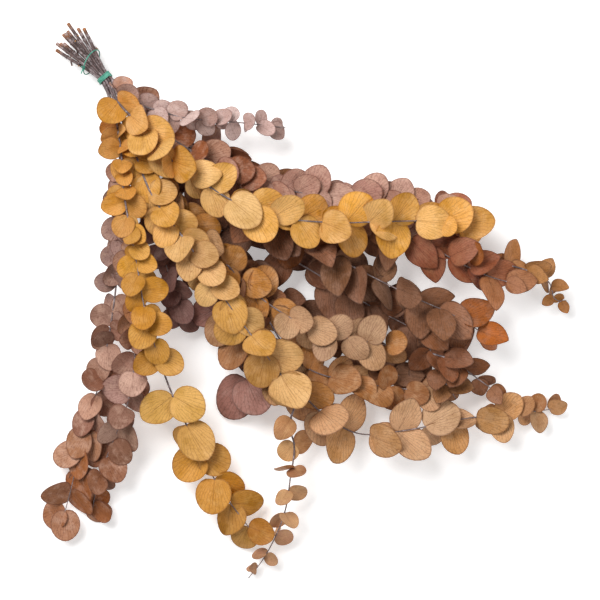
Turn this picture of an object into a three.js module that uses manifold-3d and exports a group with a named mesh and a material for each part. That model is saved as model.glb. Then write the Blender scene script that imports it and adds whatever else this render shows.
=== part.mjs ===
// A bunch of dried eucalyptus lying on its side: twelve cut branches of round, stalkless leaves, held
// near their cut ends by a green elastic band and a loose green loop.
//
// Millimetres, +Z up. The branches are laid out with the band's middle above the layout's origin, the cut
// ends towards -X and the tips fanning out towards +X. At the end the whole bunch is moved so that the
// origin is the middle of its box, on the surface that it lies on.
//
// Each branch grew as one piece, so its stem, side shoots and leaves are joined into one solid.

import * as THREE from 'three';
import { mergeVertices } from 'three/addons/utils/BufferGeometryUtils.js';
import Module from 'manifold-3d';

const wasm = await Module();
wasm.setup();

// The waist, where the band holds the stems side by side in three rows.
const WAIST_HEIGHT = 33;
const WAIST_HALF_LENGTH = 6;
const WAIST_RISE = 2;
const STEM_PITCH = 3.2;
const ROW_PITCH = 3;

// Stems.
const STEM_RADIUS = 1.3;
const SHOOT_RADIUS = 1.0;
const STEM_SIDES = 3;
const STEPS_PER_SPAN = 2;
const SAMPLES_PER_SPAN = 8;

// Leaves: a flat lens, as wide as LEAF_WIDTH of its length and fuller near the stem.
const LEAF_SIDES = 5;
const LEAF_WIDTH = 0.92;
const LEAF_FULLNESS = 0.15;
const LEAF_THICKNESS = 1.2;
const LEAF_SPACING = 0.7;
const SIZE_VARIATION = 0.1;

// How a leaf finds room. Each try swings it further from the way it would like to lie.
const SEED = 12;
const TRIES = 48;
const SWING_GROWTH = 1.1;
const PLAN_SWING = 60;
const LIFT_SWING = 42;
const ROLL_SWING = 48;
const SIDE_PLAN = 62;
const SIDE_ROLL = 12;
const CROSS_PLAN = 18;
const CROSS_LIFT = 26;
const FLOOR_GAP = 1;
const STEM_GAP = 1.1;
const RIM_GAP = 0.5;
const LEAF_GAP = 2.2;
const SAME_BRANCH_GAP = 0.6;
const SAME_BRANCH_SIZE = 0.92;
const PAIR_SIZE = 0.8;
const BAND_CLEARANCE = 11.5;

// The band and the loop.
const BAND_WIDTH = 7;
const BAND_THICKNESS = 1.4;
const BAND_HALF_WIDTH = 9.4;
const BAND_HALF_HEIGHT = 6.8;
const BAND_TILT = Math.atan2(WAIST_RISE, WAIST_HALF_LENGTH);
const BAND_SEGMENTS = 24;
const LOOP_CENTRE = [-24, -1, 26.5];
const LOOP_TUBE_RADIUS = 0.7;
const LOOP_HALF_WIDTH = 15.5;
const LOOP_HALF_HEIGHT = 13;
const LOOP_LEAN = 0.35;

const FINISH = { roughness: 0.75, metalness: 0 };
const GREEN = 0x5fae97;

// The branches, those on top of the bunch first, because the first ones choose their room first.
// column and row place the stem in the waist, and butt is its cut end. route runs on from the waist.
// leafLengths runs from the first leaf to the last, and leafyFrom is how far along the leaves begin. A
// shoot may have a spacing or a swing of its own.
const BRANCHES = [
  {
    name: 'golden_front_branch', colour: 0xdfa03a, column: 0.5, row: 1, butt: [-74, 7, 24], lift: 6, swing: 0.5,
    shoots: [
      {
        route: [[34, -6, 56], [63, -5, 71], [93, -5, 80], [129, -1, 87], [162, 8, 91], [197, 19, 94],
          [224, 32, 92], [255, 56, 87], [291, 94, 80], [318, 128, 76], [352, 170, 68], [386, 203, 54]],
        leafyFrom: 34, leafLengths: [34, 36, 37, 38, 38, 38, 38, 37, 36], spacing: 0.68,
      },
    ],
  },
  {
    name: 'golden_inner_branch', colour: 0xd99a3e, column: -0.5, row: 1,
    butt: [-68, -3, 22], lift: 6, swing: 0.5,
    shoots: [
      {
        route: [[36, -11, 48], [86, -27, 58], [137, -43, 68], [207, -47, 78], [280, -55, 80],
          [343, -59, 72], [407, -63, 62]],
        leafyFrom: 60, leafLengths: [27, 30, 31, 31, 33, 38, 44, 48], spacing: 0.66,
      },
      {
        route: [[407, -63, 62], [425, -90, 50], [446, -101, 46], [472, -129, 40], [491, -150, 34],
          [508, -177, 28], [522, -211, 20], [528, -237, 14]],
        leafyFrom: 26, leafLengths: [26, 24, 22, 24, 22, 18, 12], spacing: 1.15, swing: 1.5,
      },
    ],
  },
  {
    name: 'golden_left_branch', colour: 0xcf8f2c, column: -1.5, row: 1,
    butt: [-66, -17, 19], lift: 6, swing: 0.5,
    shoots: [
      {
        route: [[39, -17, 50], [77, -38, 60], [104, -57, 70], [130, -73, 76], [154, -86, 80],
          [183, -102, 82], [220, -124, 80], [256, -142, 74], [281, -153, 64]],
        leafyFrom: 44, leafLengths: [25, 25, 25, 25, 26, 28, 30, 34], spacing: 0.64,
      },
      {
        route: [[281, -153, 64], [311, -165, 52], [352, -177, 44], [392, -187, 40], [434, -195, 34],
          [473, -198, 28], [502, -200, 20]],
        leafyFrom: 42, leafLengths: [42, 40, 40, 38, 34], spacing: 0.85, swing: 0.4,
      },
    ],
  },
  {
    name: 'pink_branch', colour: 0xc09b8e, column: 1.5, row: 1, butt: [-58, 17, 27], lift: 6, swing: 0.8,
    shoots: [
      {
        route: [[26, -1, 54], [44, 6, 60], [68, 20, 61], [93, 38, 57], [136, 82, 49], [171, 117, 37]],
        leafyFrom: 18, leafLengths: [23, 24, 23, 22, 20, 18], spacing: 0.75,
      },
    ],
  },
  {
    name: 'tan_inner_branch', colour: 0xc79a72, column: -1, row: 0, butt: [-62, -11, 13], lift: 2, swing: 0.8,
    shoots: [
      {
        route: [[42, -12, 39], [107, -26, 46], [175, -30, 50], [243, -29, 54], [299, -24, 56],
          [360, -2, 62], [442, 61, 46]],
        leafyFrom: 90, leafLengths: [28, 30, 30, 32, 34, 34, 34, 30], spacing: 0.66,
      },
      {
        route: [[243, -29, 54], [309, -32, 46], [361, -39, 42], [395, -33, 40], [448, 6, 38],
          [507, 62, 26]],
        leafyFrom: 20, leafLengths: [30, 34, 36, 34, 30, 28], spacing: 0.66,
      },
    ],
  },
  {
    name: 'mauve_back_branch', colour: 0xbf998b, column: 1, row: 0, butt: [-64, 12, 17], lift: 4, swing: 0.35,
    shoots: [
      {
        route: [[74, 5, 47], [114, 17, 50], [148, 29, 56], [194, 50, 57], [241, 86, 56], [276, 121, 55],
          [312, 155, 52], [339, 183, 48], [365, 209, 42]],
        leafyFrom: 45, leafLengths: [32, 33, 33, 32, 32, 32, 34], spacing: 0.48,
      },
    ],
  },
  {
    name: 'brown_long_branch', colour: 0x8e5c40, column: 0, row: 0, butt: [-70, 1, 12], lift: 2, swing: 0.85,
    shoots: [
      {
        route: [[44, 1, 40], [99, 5, 44], [160, 12, 48], [219, 27, 50], [281, 53, 54], [342, 77, 58],
          [402, 103, 58], [450, 126, 52], [495, 141, 40]],
        leafyFrom: 90, leafLengths: [32, 38, 42, 42, 42, 44, 38], spacing: 0.6,
      },
      {
        route: [[402, 103, 58], [435, 92, 48], [465, 80, 42], [495, 72, 36], [522, 69, 28]],
        leafyFrom: 12, leafLengths: [38, 36, 30, 24],
      },
      {
        route: [[465, 80, 42], [481, 90, 42], [510, 99, 36], [541, 107, 28]],
        leafyFrom: 14, leafLengths: [34, 30, 22],
      },
    ],
  },
  {
    name: 'brown_right_branch', colour: 0x9b5a38, column: 1.5, row: -1,
    butt: [-52, 15, 9], lift: 2, swing: 0.85,
    shoots: [
      {
        route: [[55, 12, 33], [127, 30, 38], [203, 58, 42], [265, 85, 44], [320, 118, 48],
          [365, 150, 54], [404, 165, 60], [437, 180, 58], [469, 202, 50]],
        leafyFrom: 130, leafLengths: [34, 36, 38, 38, 38, 34], spacing: 0.62,
      },
      {
        route: [[404, 165, 60], [445, 207, 52], [488, 230, 38], [507, 224, 30], [518, 231, 22]],
        leafyFrom: 14, leafLengths: [32, 32, 28, 20, 14],
      },
    ],
  },
  {
    name: 'tan_low_branch', colour: 0xcf9a62, column: -0.5, row: -1, butt: [-72, -5, 4], lift: 2, swing: 0.6,
    shoots: [
      {
        route: [[43, -13, 31], [110, -40, 34], [184, -56, 36], [265, -66, 38], [338, -66, 42],
          [407, -58, 46], [449, -52, 48], [482, -37, 46], [510, 1, 42], [546, 65, 36], [574, 104, 28],
          [603, 147, 16]],
        leafyFrom: 290, leafLengths: [36, 42, 42, 42, 42, 42, 40, 36, 26, 22], spacing: 0.74,
      },
    ],
  },
  {
    name: 'mauve_left_branch', colour: 0xb08a7c, column: -2, row: 0, butt: [-62, -22, 12], lift: 2, swing: 0.75,
    shoots: [
      {
        route: [[26, -13, 38], [73, -40, 41], [121, -77, 43], [165, -118, 42], [207, -162, 42],
          [239, -201, 40], [269, -242, 36], [298, -286, 30], [325, -324, 24], [350, -361, 16]],
        leafyFrom: 90, leafLengths: [24, 26, 26, 27, 29, 32, 36, 38, 34], spacing: 0.64,
      },
      {
        route: [[121, -77, 43], [170, -104, 48], [215, -136, 50], [253, -167, 50], [287, -204, 44],
          [313, -250, 36], [336, -293, 26], [359, -323, 16]],
        leafyFrom: 20, leafLengths: [26, 28, 30, 32, 32, 30, 28], spacing: 0.64,
      },
    ],
  },
  {
    name: 'mauve_low_branch', colour: 0x8d625a, column: -1.5, row: -1,
    butt: [-66, -14, 4], lift: 0, swing: 0.45,
    shoots: [
      {
        route: [[37, -17, 28], [100, -31, 28], [180, -40, 26], [255, -54, 24], [304, -72, 23],
          [344, -90, 22], [376, -104, 18]],
        leafyFrom: 232, leafLengths: [30, 38, 48, 50],
      },
      {
        route: [[100, -31, 28], [141, -52, 28], [182, -72, 33], [224, -91, 34], [266, -109, 26]],
        leafyFrom: 14, leafLengths: [24, 26, 28, 28], spacing: 0.6, swing: 0.7,
      },
    ],
  },
  {
    name: 'brown_deep_branch', colour: 0x7b4f35, column: 0.5, row: -1, butt: [-58, 5, 4], lift: 0, swing: 0.6,
    shoots: [
      {
        route: [[60, -3, 31], [107, -9, 33], [172, -3, 34], [248, 16, 32], [320, 41, 32], [381, 62, 31],
          [480, 103, 20]],
        leafyFrom: 80, leafLengths: [34, 40, 42, 42, 40, 36], spacing: 0.64,
      },
      {
        route: [[172, -3, 34], [256, -13, 26], [321, -10, 24], [383, 4, 24], [442, 26, 22], [489, 53, 18]],
        leafyFrom: 20, leafLengths: [34, 38, 38, 36, 32], spacing: 0.68,
      },
    ],
  },
];

const UP = new THREE.Vector3(0, 0, 1);
const radians = THREE.MathUtils.degToRad;

// --- Routes -------------------------------------------------------------------------------------------

// The two points where a stem enters and leaves the waist, in its own place in the rows.
function waistPoints(branch) {
  const y = branch.column * STEM_PITCH;
  const z = WAIST_HEIGHT + branch.row * ROW_PITCH;
  return [[-WAIST_HALF_LENGTH, y, z - WAIST_RISE], [WAIST_HALF_LENGTH, y, z + WAIST_RISE]];
}

// A smooth curve that is cut into even steps between its points, so that short bends get short steps.
class RouteCurve extends THREE.CatmullRomCurve3 {
  getPointAt(share, target) {
    return this.getPoint(share, target);
  }

  getTangentAt(share, target) {
    return this.getTangent(share, target);
  }
}

// A smooth curve through a shoot's points. The first shoot of a branch also has its cut end and waist.
function shootCurve(branch, index) {
  const lead = index === 0 ? [branch.butt, ...waistPoints(branch)] : [];
  const points = [...lead, ...branch.shoots[index].route].map((point) => new THREE.Vector3(...point));
  return new RouteCurve(points, false, 'centripetal');
}

// The same curve as short straight pieces, with the distance of each point from the start.
function measuredLine(curve) {
  const points = curve.getPoints((curve.points.length - 1) * SAMPLES_PER_SPAN);
  const distances = [0];
  for (let i = 1; i < points.length; i += 1) {
    distances.push(distances[i - 1] + points[i].distanceTo(points[i - 1]));
  }
  return { points, distances, length: distances[distances.length - 1] };
}

// The point and the direction of a line at a distance from its start.
function pointAlong(line, distance) {
  let i = 0;
  while (i < line.points.length - 2 && line.distances[i + 1] <= distance) {
    i += 1;
  }
  const [from, to] = [line.points[i], line.points[i + 1]];
  const share = (distance - line.distances[i]) / (line.distances[i + 1] - line.distances[i]);
  return { point: from.clone().lerp(to, share), tangent: to.clone().sub(from).normalize() };
}

// The value at a share of the way through a short list, in straight steps between its entries.
function valueAlong(values, share) {
  const place = share * (values.length - 1);
  const i = Math.min(Math.floor(place), values.length - 2);
  return values[i] + (values[i + 1] - values[i]) * (place - i);
}

// --- Room for the leaves ------------------------------------------------------------------------------

// A small repeatable random number source.
class Chance {
  constructor(seed) {
    this.state = seed;
  }

  draw() {
    this.state = (Math.imul(this.state, 1664525) + 1013904223) >>> 0;
    return this.state / 4294967296;
  }

  around(amount) {
    return amount * (2 * this.draw() - 1);
  }
}

// Everything placed so far: stems as straight pieces, and leaves as discs.
class Room {
  constructor() {
    this.stems = [];
    this.discs = [];
  }

  addStem(points, radius, owner) {
    for (let i = 1; i < points.length; i += 1) {
      this.stems.push({ from: points[i - 1], to: points[i], radius, owner });
    }
  }

  isFree(disc) {
    const drop = disc.radius * Math.sqrt(Math.max(0, 1 - disc.normal.z ** 2));
    if (disc.centre.z - drop < FLOOR_GAP) {
      return false;
    }
    return !this.stems.some((stem) => stem.owner !== disc.owner && stemMeetsDisc(stem, disc))
      && !this.discs.some((other) => discsMeet(disc, other));
  }
}

// Whether a piece of stem comes through a disc, or too close to it.
function stemMeetsDisc(stem, disc) {
  const limit = stem.radius + STEM_GAP;
  const start = stem.from.clone().sub(disc.centre).dot(disc.normal);
  const end = stem.to.clone().sub(disc.centre).dot(disc.normal);
  if (Math.min(start, end) > limit || Math.max(start, end) < -limit) {
    return false;
  }
  let [enter, leave] = [0, 1];
  if (Math.abs(end - start) > 1e-9) {
    const crossings = [(-limit - start) / (end - start), (limit - start) / (end - start)];
    enter = THREE.MathUtils.clamp(Math.min(...crossings), 0, 1);
    leave = THREE.MathUtils.clamp(Math.max(...crossings), 0, 1);
  }
  const near = stem.from.clone().lerp(stem.to, enter);
  const far = stem.from.clone().lerp(stem.to, leave);
  const closest = new THREE.Line3(near, far).closestPointToPoint(disc.centre, true, new THREE.Vector3());
  const offset = closest.sub(disc.centre);
  offset.addScaledVector(disc.normal, -offset.dot(disc.normal));
  return offset.length() < disc.radius + stem.radius + RIM_GAP;
}

// Whether two discs cross or come too close. They cross where both cover the same stretch of the line in
// which their planes meet. Leaves of one branch may touch at their rims, and a pair shares its root.
function discsMeet(a, b) {
  const gap = a.owner === b.owner ? SAME_BRANCH_GAP : LEAF_GAP;
  let size = a.owner === b.owner ? SAME_BRANCH_SIZE : 1;
  if (a.root === b.root) {
    size = PAIR_SIZE;
  }
  const radiusA = a.radius * size;
  const radiusB = b.radius * size;
  const between = b.centre.clone().sub(a.centre);
  if (between.length() >= radiusA + radiusB + gap) {
    return false;
  }
  const cosine = a.normal.dot(b.normal);
  const sine = Math.sqrt(Math.max(0, 1 - cosine * cosine));
  if (Math.abs(between.dot(a.normal)) > radiusB * sine + gap
    || Math.abs(between.dot(b.normal)) > radiusA * sine + gap) {
    return false;
  }
  if (sine < 0.05) {
    return true;
  }
  const line = a.normal.clone().cross(b.normal).divideScalar(sine);
  const across = line.clone().cross(a.normal);
  const nearestToA = across.clone().multiplyScalar(between.dot(b.normal) / across.dot(b.normal));
  const fromB = nearestToA.clone().sub(between);
  const shift = -fromB.dot(line);
  const nearestToB = fromB.addScaledVector(line, shift);
  const reachA = radiusA + gap / sine / 2;
  const reachB = radiusB + gap / sine / 2;
  const halfChordA = Math.sqrt(Math.max(0, reachA ** 2 - nearestToA.lengthSq()));
  const halfChordB = Math.sqrt(Math.max(0, reachB ** 2 - nearestToB.lengthSq()));
  return halfChordA > 0 && halfChordB > 0 && Math.abs(shift) < halfChordA + halfChordB;
}

// --- Leaves -------------------------------------------------------------------------------------------

// The directions of a leaf. plan turns it away from the stem's heading, lift raises its tip and roll turns
// it about its own midrib.
function leafDirections(tangent, plan, lift, roll) {
  const heading = new THREE.Vector3(tangent.x, tangent.y, 0).normalize();
  const left = new THREE.Vector3(-heading.y, heading.x, 0);
  const rise = lift + Math.asin(tangent.z) * Math.cos(plan);
  const flat = heading.multiplyScalar(Math.cos(plan)).addScaledVector(left, Math.sin(plan));
  const midrib = flat.clone().multiplyScalar(Math.cos(rise)).addScaledVector(UP, Math.sin(rise));
  const upright = flat.clone().multiplyScalar(-Math.sin(rise)).addScaledVector(UP, Math.cos(rise));
  const side = upright.clone().cross(midrib);
  const normal = upright.multiplyScalar(Math.cos(roll)).addScaledVector(side, Math.sin(roll));
  return { midrib, normal };
}

// How a leaf of a pair would like to lie: pairs stand crosswise to the pair before them.
function wishedPose(branch, pairIndex, side) {
  if (pairIndex % 2 === 0) {
    return { plan: SIDE_PLAN * side, lift: branch.lift, roll: -SIDE_ROLL * side };
  }
  const turn = pairIndex % 4 === 1 ? 1 : -1;
  return { plan: CROSS_PLAN * side * turn, lift: CROSS_LIFT * side, roll: 0 };
}

// Swings a leaf further and further until it has room. A leaf that finds none has fallen off.
function placeLeaf(room, chance, startSwing, owner, spot, wish, length) {
  for (let attempt = 0; attempt < TRIES; attempt += 1) {
    const swing = startSwing + (SWING_GROWTH * attempt) / TRIES;
    const plan = radians(wish.plan + chance.around(PLAN_SWING * swing));
    const lift = radians(wish.lift + chance.around(LIFT_SWING * swing));
    const roll = radians(wish.roll + chance.around(ROLL_SWING * swing));
    let shrink = 1;
    if (attempt >= TRIES * 0.5) {
      shrink = attempt < TRIES * 0.75 ? 0.85 : 0.7;
    }
    const size = length * shrink;
    const { midrib, normal } = leafDirections(spot.tangent, plan, lift, roll);
    const centre = spot.point.clone().addScaledVector(midrib, size / 2);
    const disc = { centre, normal, radius: size / 2, owner, root: spot.point };
    if (room.isFree(disc)) {
      room.discs.push(disc);
      return { centre, midrib, normal, size };
    }
  }
  return null;
}

// All the leaves of one shoot, in pairs, each pair a share of the leaf's length past the one before.
function leavesOfShoot(room, chance, branch, owner, shoot, line) {
  const leaves = [];
  let distance = shoot.start;
  for (let pairIndex = 0; distance < line.length - 3; pairIndex += 1) {
    const share = (distance - shoot.start) / (line.length - shoot.start);
    const length = valueAlong(shoot.leafLengths, share);
    const spot = pointAlong(line, distance);
    for (const side of [1, -1]) {
      const wish = wishedPose(branch, pairIndex, side);
      const ownLength = length * (1 + chance.around(SIZE_VARIATION));
      const leaf = placeLeaf(room, chance, shoot.swing ?? branch.swing, owner, spot, wish, ownLength);
      if (leaf) {
        leaves.push(leaf);
      }
    }
    distance += length * (shoot.spacing ?? LEAF_SPACING);
  }
  return leaves;
}

// --- Solids -------------------------------------------------------------------------------------------

function toManifold(geometry) {
  geometry.deleteAttribute('normal');
  geometry.deleteAttribute('uv');
  const merged = mergeVertices(geometry, 1e-4);
  return new wasm.Manifold(new wasm.Mesh({
    numProp: 3,
    vertProperties: Float32Array.from(merged.attributes.position.array),
    triVerts: Uint32Array.from(merged.index.array),
  }));
}

function toGeometry(solid) {
  const { vertProperties, triVerts } = solid.getMesh();
  const geometry = new THREE.BufferGeometry();
  geometry.setAttribute('position', new THREE.BufferAttribute(vertProperties, 3));
  geometry.setIndex(new THREE.BufferAttribute(triVerts, 1));
  geometry.computeVertexNormals();
  return geometry;
}

function stemSolid(curve, radius) {
  const section = new THREE.Shape();
  for (let i = 0; i < STEM_SIDES; i += 1) {
    const angle = (2 * Math.PI * i) / STEM_SIDES;
    const corner = [radius * Math.cos(angle), radius * Math.sin(angle)];
    if (i === 0) {
      section.moveTo(...corner);
    } else {
      section.lineTo(...corner);
    }
  }
  const steps = (curve.points.length - 1) * STEPS_PER_SPAN;
  return toManifold(new THREE.ExtrudeGeometry(section, { steps, bevelEnabled: false, extrudePath: curve }));
}

function leafSolid(leaf) {
  const lens = new THREE.SphereGeometry(1, LEAF_SIDES, 2).rotateX(Math.PI / 2);
  const positions = lens.attributes.position;
  for (let i = 0; i < positions.count; i += 1) {
    positions.setY(i, positions.getY(i) * (1 - LEAF_FULLNESS * positions.getX(i)));
  }
  const half = leaf.size / 2;
  lens.scale(half, half * LEAF_WIDTH, LEAF_THICKNESS / 2);
  const across = leaf.normal.clone().cross(leaf.midrib);
  lens.applyMatrix4(new THREE.Matrix4().makeBasis(leaf.midrib, across, leaf.normal).setPosition(leaf.centre));
  return toManifold(lens);
}

function branchMesh(branch, leaves) {
  let solid = stemSolid(branch.curves[0], STEM_RADIUS);
  for (const curve of branch.curves.slice(1)) {
    solid = solid.add(stemSolid(curve, SHOOT_RADIUS));
  }
  for (const leaf of leaves) {
    solid = solid.add(leafSolid(leaf));
  }
  return namedMesh(branch.name, toGeometry(outerShell(solid)), branch.colour);
}

// The outside of a solid, without the small pockets that may close up where stems part.
function outerShell(solid) {
  const shells = solid.decompose();
  return shells.reduce((best, shell) => (shell.volume() > best.volume() ? shell : best));
}

function namedMesh(name, geometry, color) {
  const mesh = new THREE.Mesh(geometry, new THREE.MeshStandardMaterial({ color, ...FINISH }));
  mesh.name = name;
  return mesh;
}

// A flat elastic band around the waist: a ring of even thickness, stretched to the bundle's oval.
function bandMesh() {
  const profile = [[0, -1], [1, -1], [1, 1], [0, 1], [0, -1]].map(([out, along]) => new THREE.Vector2(
    BAND_HALF_WIDTH + out * BAND_THICKNESS,
    (along * BAND_WIDTH) / 2,
  ));
  const ring = new THREE.LatheGeometry(profile, BAND_SEGMENTS);
  ring.scale(1, 1, BAND_HALF_HEIGHT / BAND_HALF_WIDTH);
  ring.rotateZ(-Math.PI / 2).rotateY(-BAND_TILT);
  const mesh = namedMesh('tie_band', toGeometry(toManifold(ring)), GREEN);
  mesh.position.set(0, 0, WAIST_HEIGHT);
  return mesh;
}

// A thin loop that hangs loosely around the cut ends.
function loopMesh() {
  const loop = new THREE.TorusGeometry(LOOP_HALF_WIDTH, LOOP_TUBE_RADIUS, 5, BAND_SEGMENTS);
  loop.scale(LOOP_HALF_HEIGHT / LOOP_HALF_WIDTH, 1, 1);
  loop.rotateY(Math.PI / 2 - BAND_TILT).rotateZ(LOOP_LEAN);
  const mesh = namedMesh('tie_loop', toGeometry(toManifold(loop)), GREEN);
  mesh.position.set(...LOOP_CENTRE);
  return mesh;
}

// --- Assembly -----------------------------------------------------------------------------------------

function buildBunch() {
  const room = new Room();
  BRANCHES.forEach((branch, owner) => {
    branch.curves = branch.shoots.map((shoot, index) => shootCurve(branch, index));
    branch.lines = branch.curves.map(measuredLine);
    branch.lines.forEach((line, index) => {
      room.addStem(line.points, index === 0 ? STEM_RADIUS : SHOOT_RADIUS, owner);
    });
  });
  const [entry, exit] = [-WAIST_HALF_LENGTH, WAIST_HALF_LENGTH].map((x) => new THREE.Vector3(x, 0, WAIST_HEIGHT));
  room.addStem([entry, exit], BAND_CLEARANCE, -1);

  const chance = new Chance(SEED);
  const bunch = new THREE.Group();
  BRANCHES.forEach((branch, owner) => {
    const leaves = branch.shoots.flatMap((shoot, index) => {
      const line = branch.lines[index];
      const lead = index === 0 ? line.distances[2 * SAMPLES_PER_SPAN] : 0;
      return leavesOfShoot(room, chance, branch, owner, { ...shoot, start: lead + shoot.leafyFrom }, line);
    });
    bunch.add(branchMesh(branch, leaves));
  });
  bunch.add(bandMesh(), loopMesh());
  return bunch;
}

// Puts the origin at the middle of the bunch's box, on the surface below it.
function restOnSurface(bunch) {
  const box = new THREE.Box3().setFromObject(bunch, true);
  const middle = box.getCenter(new THREE.Vector3());
  bunch.position.set(-middle.x, -middle.y, -box.min.z);
  return bunch;
}

const group = restOnSurface(buildBunch());

export default group;
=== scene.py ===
"""A bunch of dried eucalyptus: stems, leaves and green ties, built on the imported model.

The branches follow the same routes as the model's, and the same seeded search looks for each leaf's room,
so each leaf lies where the model's leaf lies. Lengths are in millimetres, unless it says metres.
"""
import logging
import math
import random
from dataclasses import dataclass, field
from enum import Enum
from typing import Sequence

import bmesh
import bpy
import numpy as np
from mathutils import Matrix, Vector


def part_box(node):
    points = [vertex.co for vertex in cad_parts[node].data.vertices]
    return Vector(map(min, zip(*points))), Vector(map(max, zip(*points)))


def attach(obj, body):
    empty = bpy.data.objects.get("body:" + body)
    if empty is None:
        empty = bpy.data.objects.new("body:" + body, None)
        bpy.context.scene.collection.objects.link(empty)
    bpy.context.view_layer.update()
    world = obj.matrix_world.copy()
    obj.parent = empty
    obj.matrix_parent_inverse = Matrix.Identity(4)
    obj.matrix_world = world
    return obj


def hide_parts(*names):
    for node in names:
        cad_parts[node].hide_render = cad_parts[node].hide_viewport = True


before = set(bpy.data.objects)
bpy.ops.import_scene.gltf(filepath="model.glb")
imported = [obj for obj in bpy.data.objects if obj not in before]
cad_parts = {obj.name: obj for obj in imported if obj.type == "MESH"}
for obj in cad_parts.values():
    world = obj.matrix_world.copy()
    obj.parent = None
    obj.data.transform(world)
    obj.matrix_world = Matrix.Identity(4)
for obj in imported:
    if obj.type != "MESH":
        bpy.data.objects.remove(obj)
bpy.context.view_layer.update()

LOG = logging.getLogger("eucalyptus")
MM = 0.001
BODY = "root"
Point = tuple[float, float, float]
Socket = bpy.types.NodeSocket
Ring = list[bmesh.types.BMVert]

# The waist, where the band holds the stems side by side in three rows.
WAIST_HEIGHT = 33.0
WAIST_HALF_LENGTH = 6.0
WAIST_RISE = 2.0
STEM_PITCH = 3.2
ROW_PITCH = 3.0
STEM_RADIUS = 1.3
SHOOT_RADIUS = 1.0
SAMPLES_PER_SPAN = 8
LEAF_SPACING = 0.7
SIZE_VARIATION = 0.1

# How a leaf finds room. Each try swings it further from the way it would like to lie. SHRINKS says from
# which share of the tries it is smaller, and by how much.
SEED = 12
TRIES = 48
SWING_GROWTH = 1.1
PLAN_SWING = 60.0
LIFT_SWING = 42.0
ROLL_SWING = 48.0
SIDE_PLAN = 62.0
SIDE_ROLL = 12.0
CROSS_PLAN = 18.0
CROSS_LIFT = 26.0
FLOOR_GAP = 1.0
STEM_GAP = 1.1
RIM_GAP = 0.5
LEAF_GAP = 2.2
SAME_BRANCH_GAP = 0.6
SAME_BRANCH_SIZE = 0.92
PAIR_SIZE = 0.8
PARALLEL_SINE = 0.05
END_MARGIN = 3
SHRINKS = ((0.75, 0.7), (0.5, 0.85))
BAND_CLEARANCE = 11.5


# --- Finishes -----------------------------------------------------------------------------------------


def linear(hex_colour: str) -> tuple[float, float, float, float]:
    """Turns an sRGB hex colour such as "#dfa03a" into linear RGBA.

    Args:
        hex_colour: the colour, as # and six digits.

    Returns:
        Red, green, blue and alpha.
    """
    channels = [int(hex_colour[i:i + 2], 16) / 255 for i in (1, 3, 5)]
    straight = [c / 12.92 if c <= 0.04045 else ((c + 0.055) / 1.055) ** 2.4 for c in channels]
    return (straight[0], straight[1], straight[2], 1.0)


def blended(first: Sequence[float], second: Sequence[float], share: float) -> tuple[float, ...]:
    """The colour a share of the way from the first to the second."""
    return tuple(a + (b - a) * share for a, b in zip(first, second))


class Surface:
    """A material as it is being made."""

    def __init__(self, name: str) -> None:
        """Starts from a plain shader.

        Args:
            name: the material's name.
        """
        self.material = bpy.data.materials.new(name)
        self.material.use_nodes = True
        self.tree = self.material.node_tree
        self.shader = self.tree.nodes["Principled BSDF"]

    def add(self, kind: str, inputs: dict | None = None, output: int | str = 0, **settings) -> Socket:
        """Adds a node with its settings and links.

        Args:
            kind: the node's type, without its "ShaderNode".
            inputs: a value or another node's output for each input, by name or number.
            output: the output to hand back, by name or number.
            settings: the node's own properties.

        Returns:
            The chosen output.
        """
        node = self.tree.nodes.new("ShaderNode" + kind)
        for key, value in settings.items():
            setattr(node, key, value)
        self.fill(node, inputs or {})
        return node.outputs[output]

    def fill(self, node: bpy.types.Node, inputs: dict) -> None:
        """Sets or links a node's inputs.

        Args:
            node: the node.
            inputs: a value or another node's output for each input.
        """
        for key, value in inputs.items():
            if isinstance(value, Socket):
                self.tree.links.new(value, node.inputs[key])
            else:
                node.inputs[key].default_value = value

    def finish(self, **inputs) -> bpy.types.Material:
        """Sets or links the shader's inputs, named with underscores, and returns the material."""
        self.fill(self.shader, {key.replace("_", " "): value for key, value in inputs.items()})
        return self.material


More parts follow.
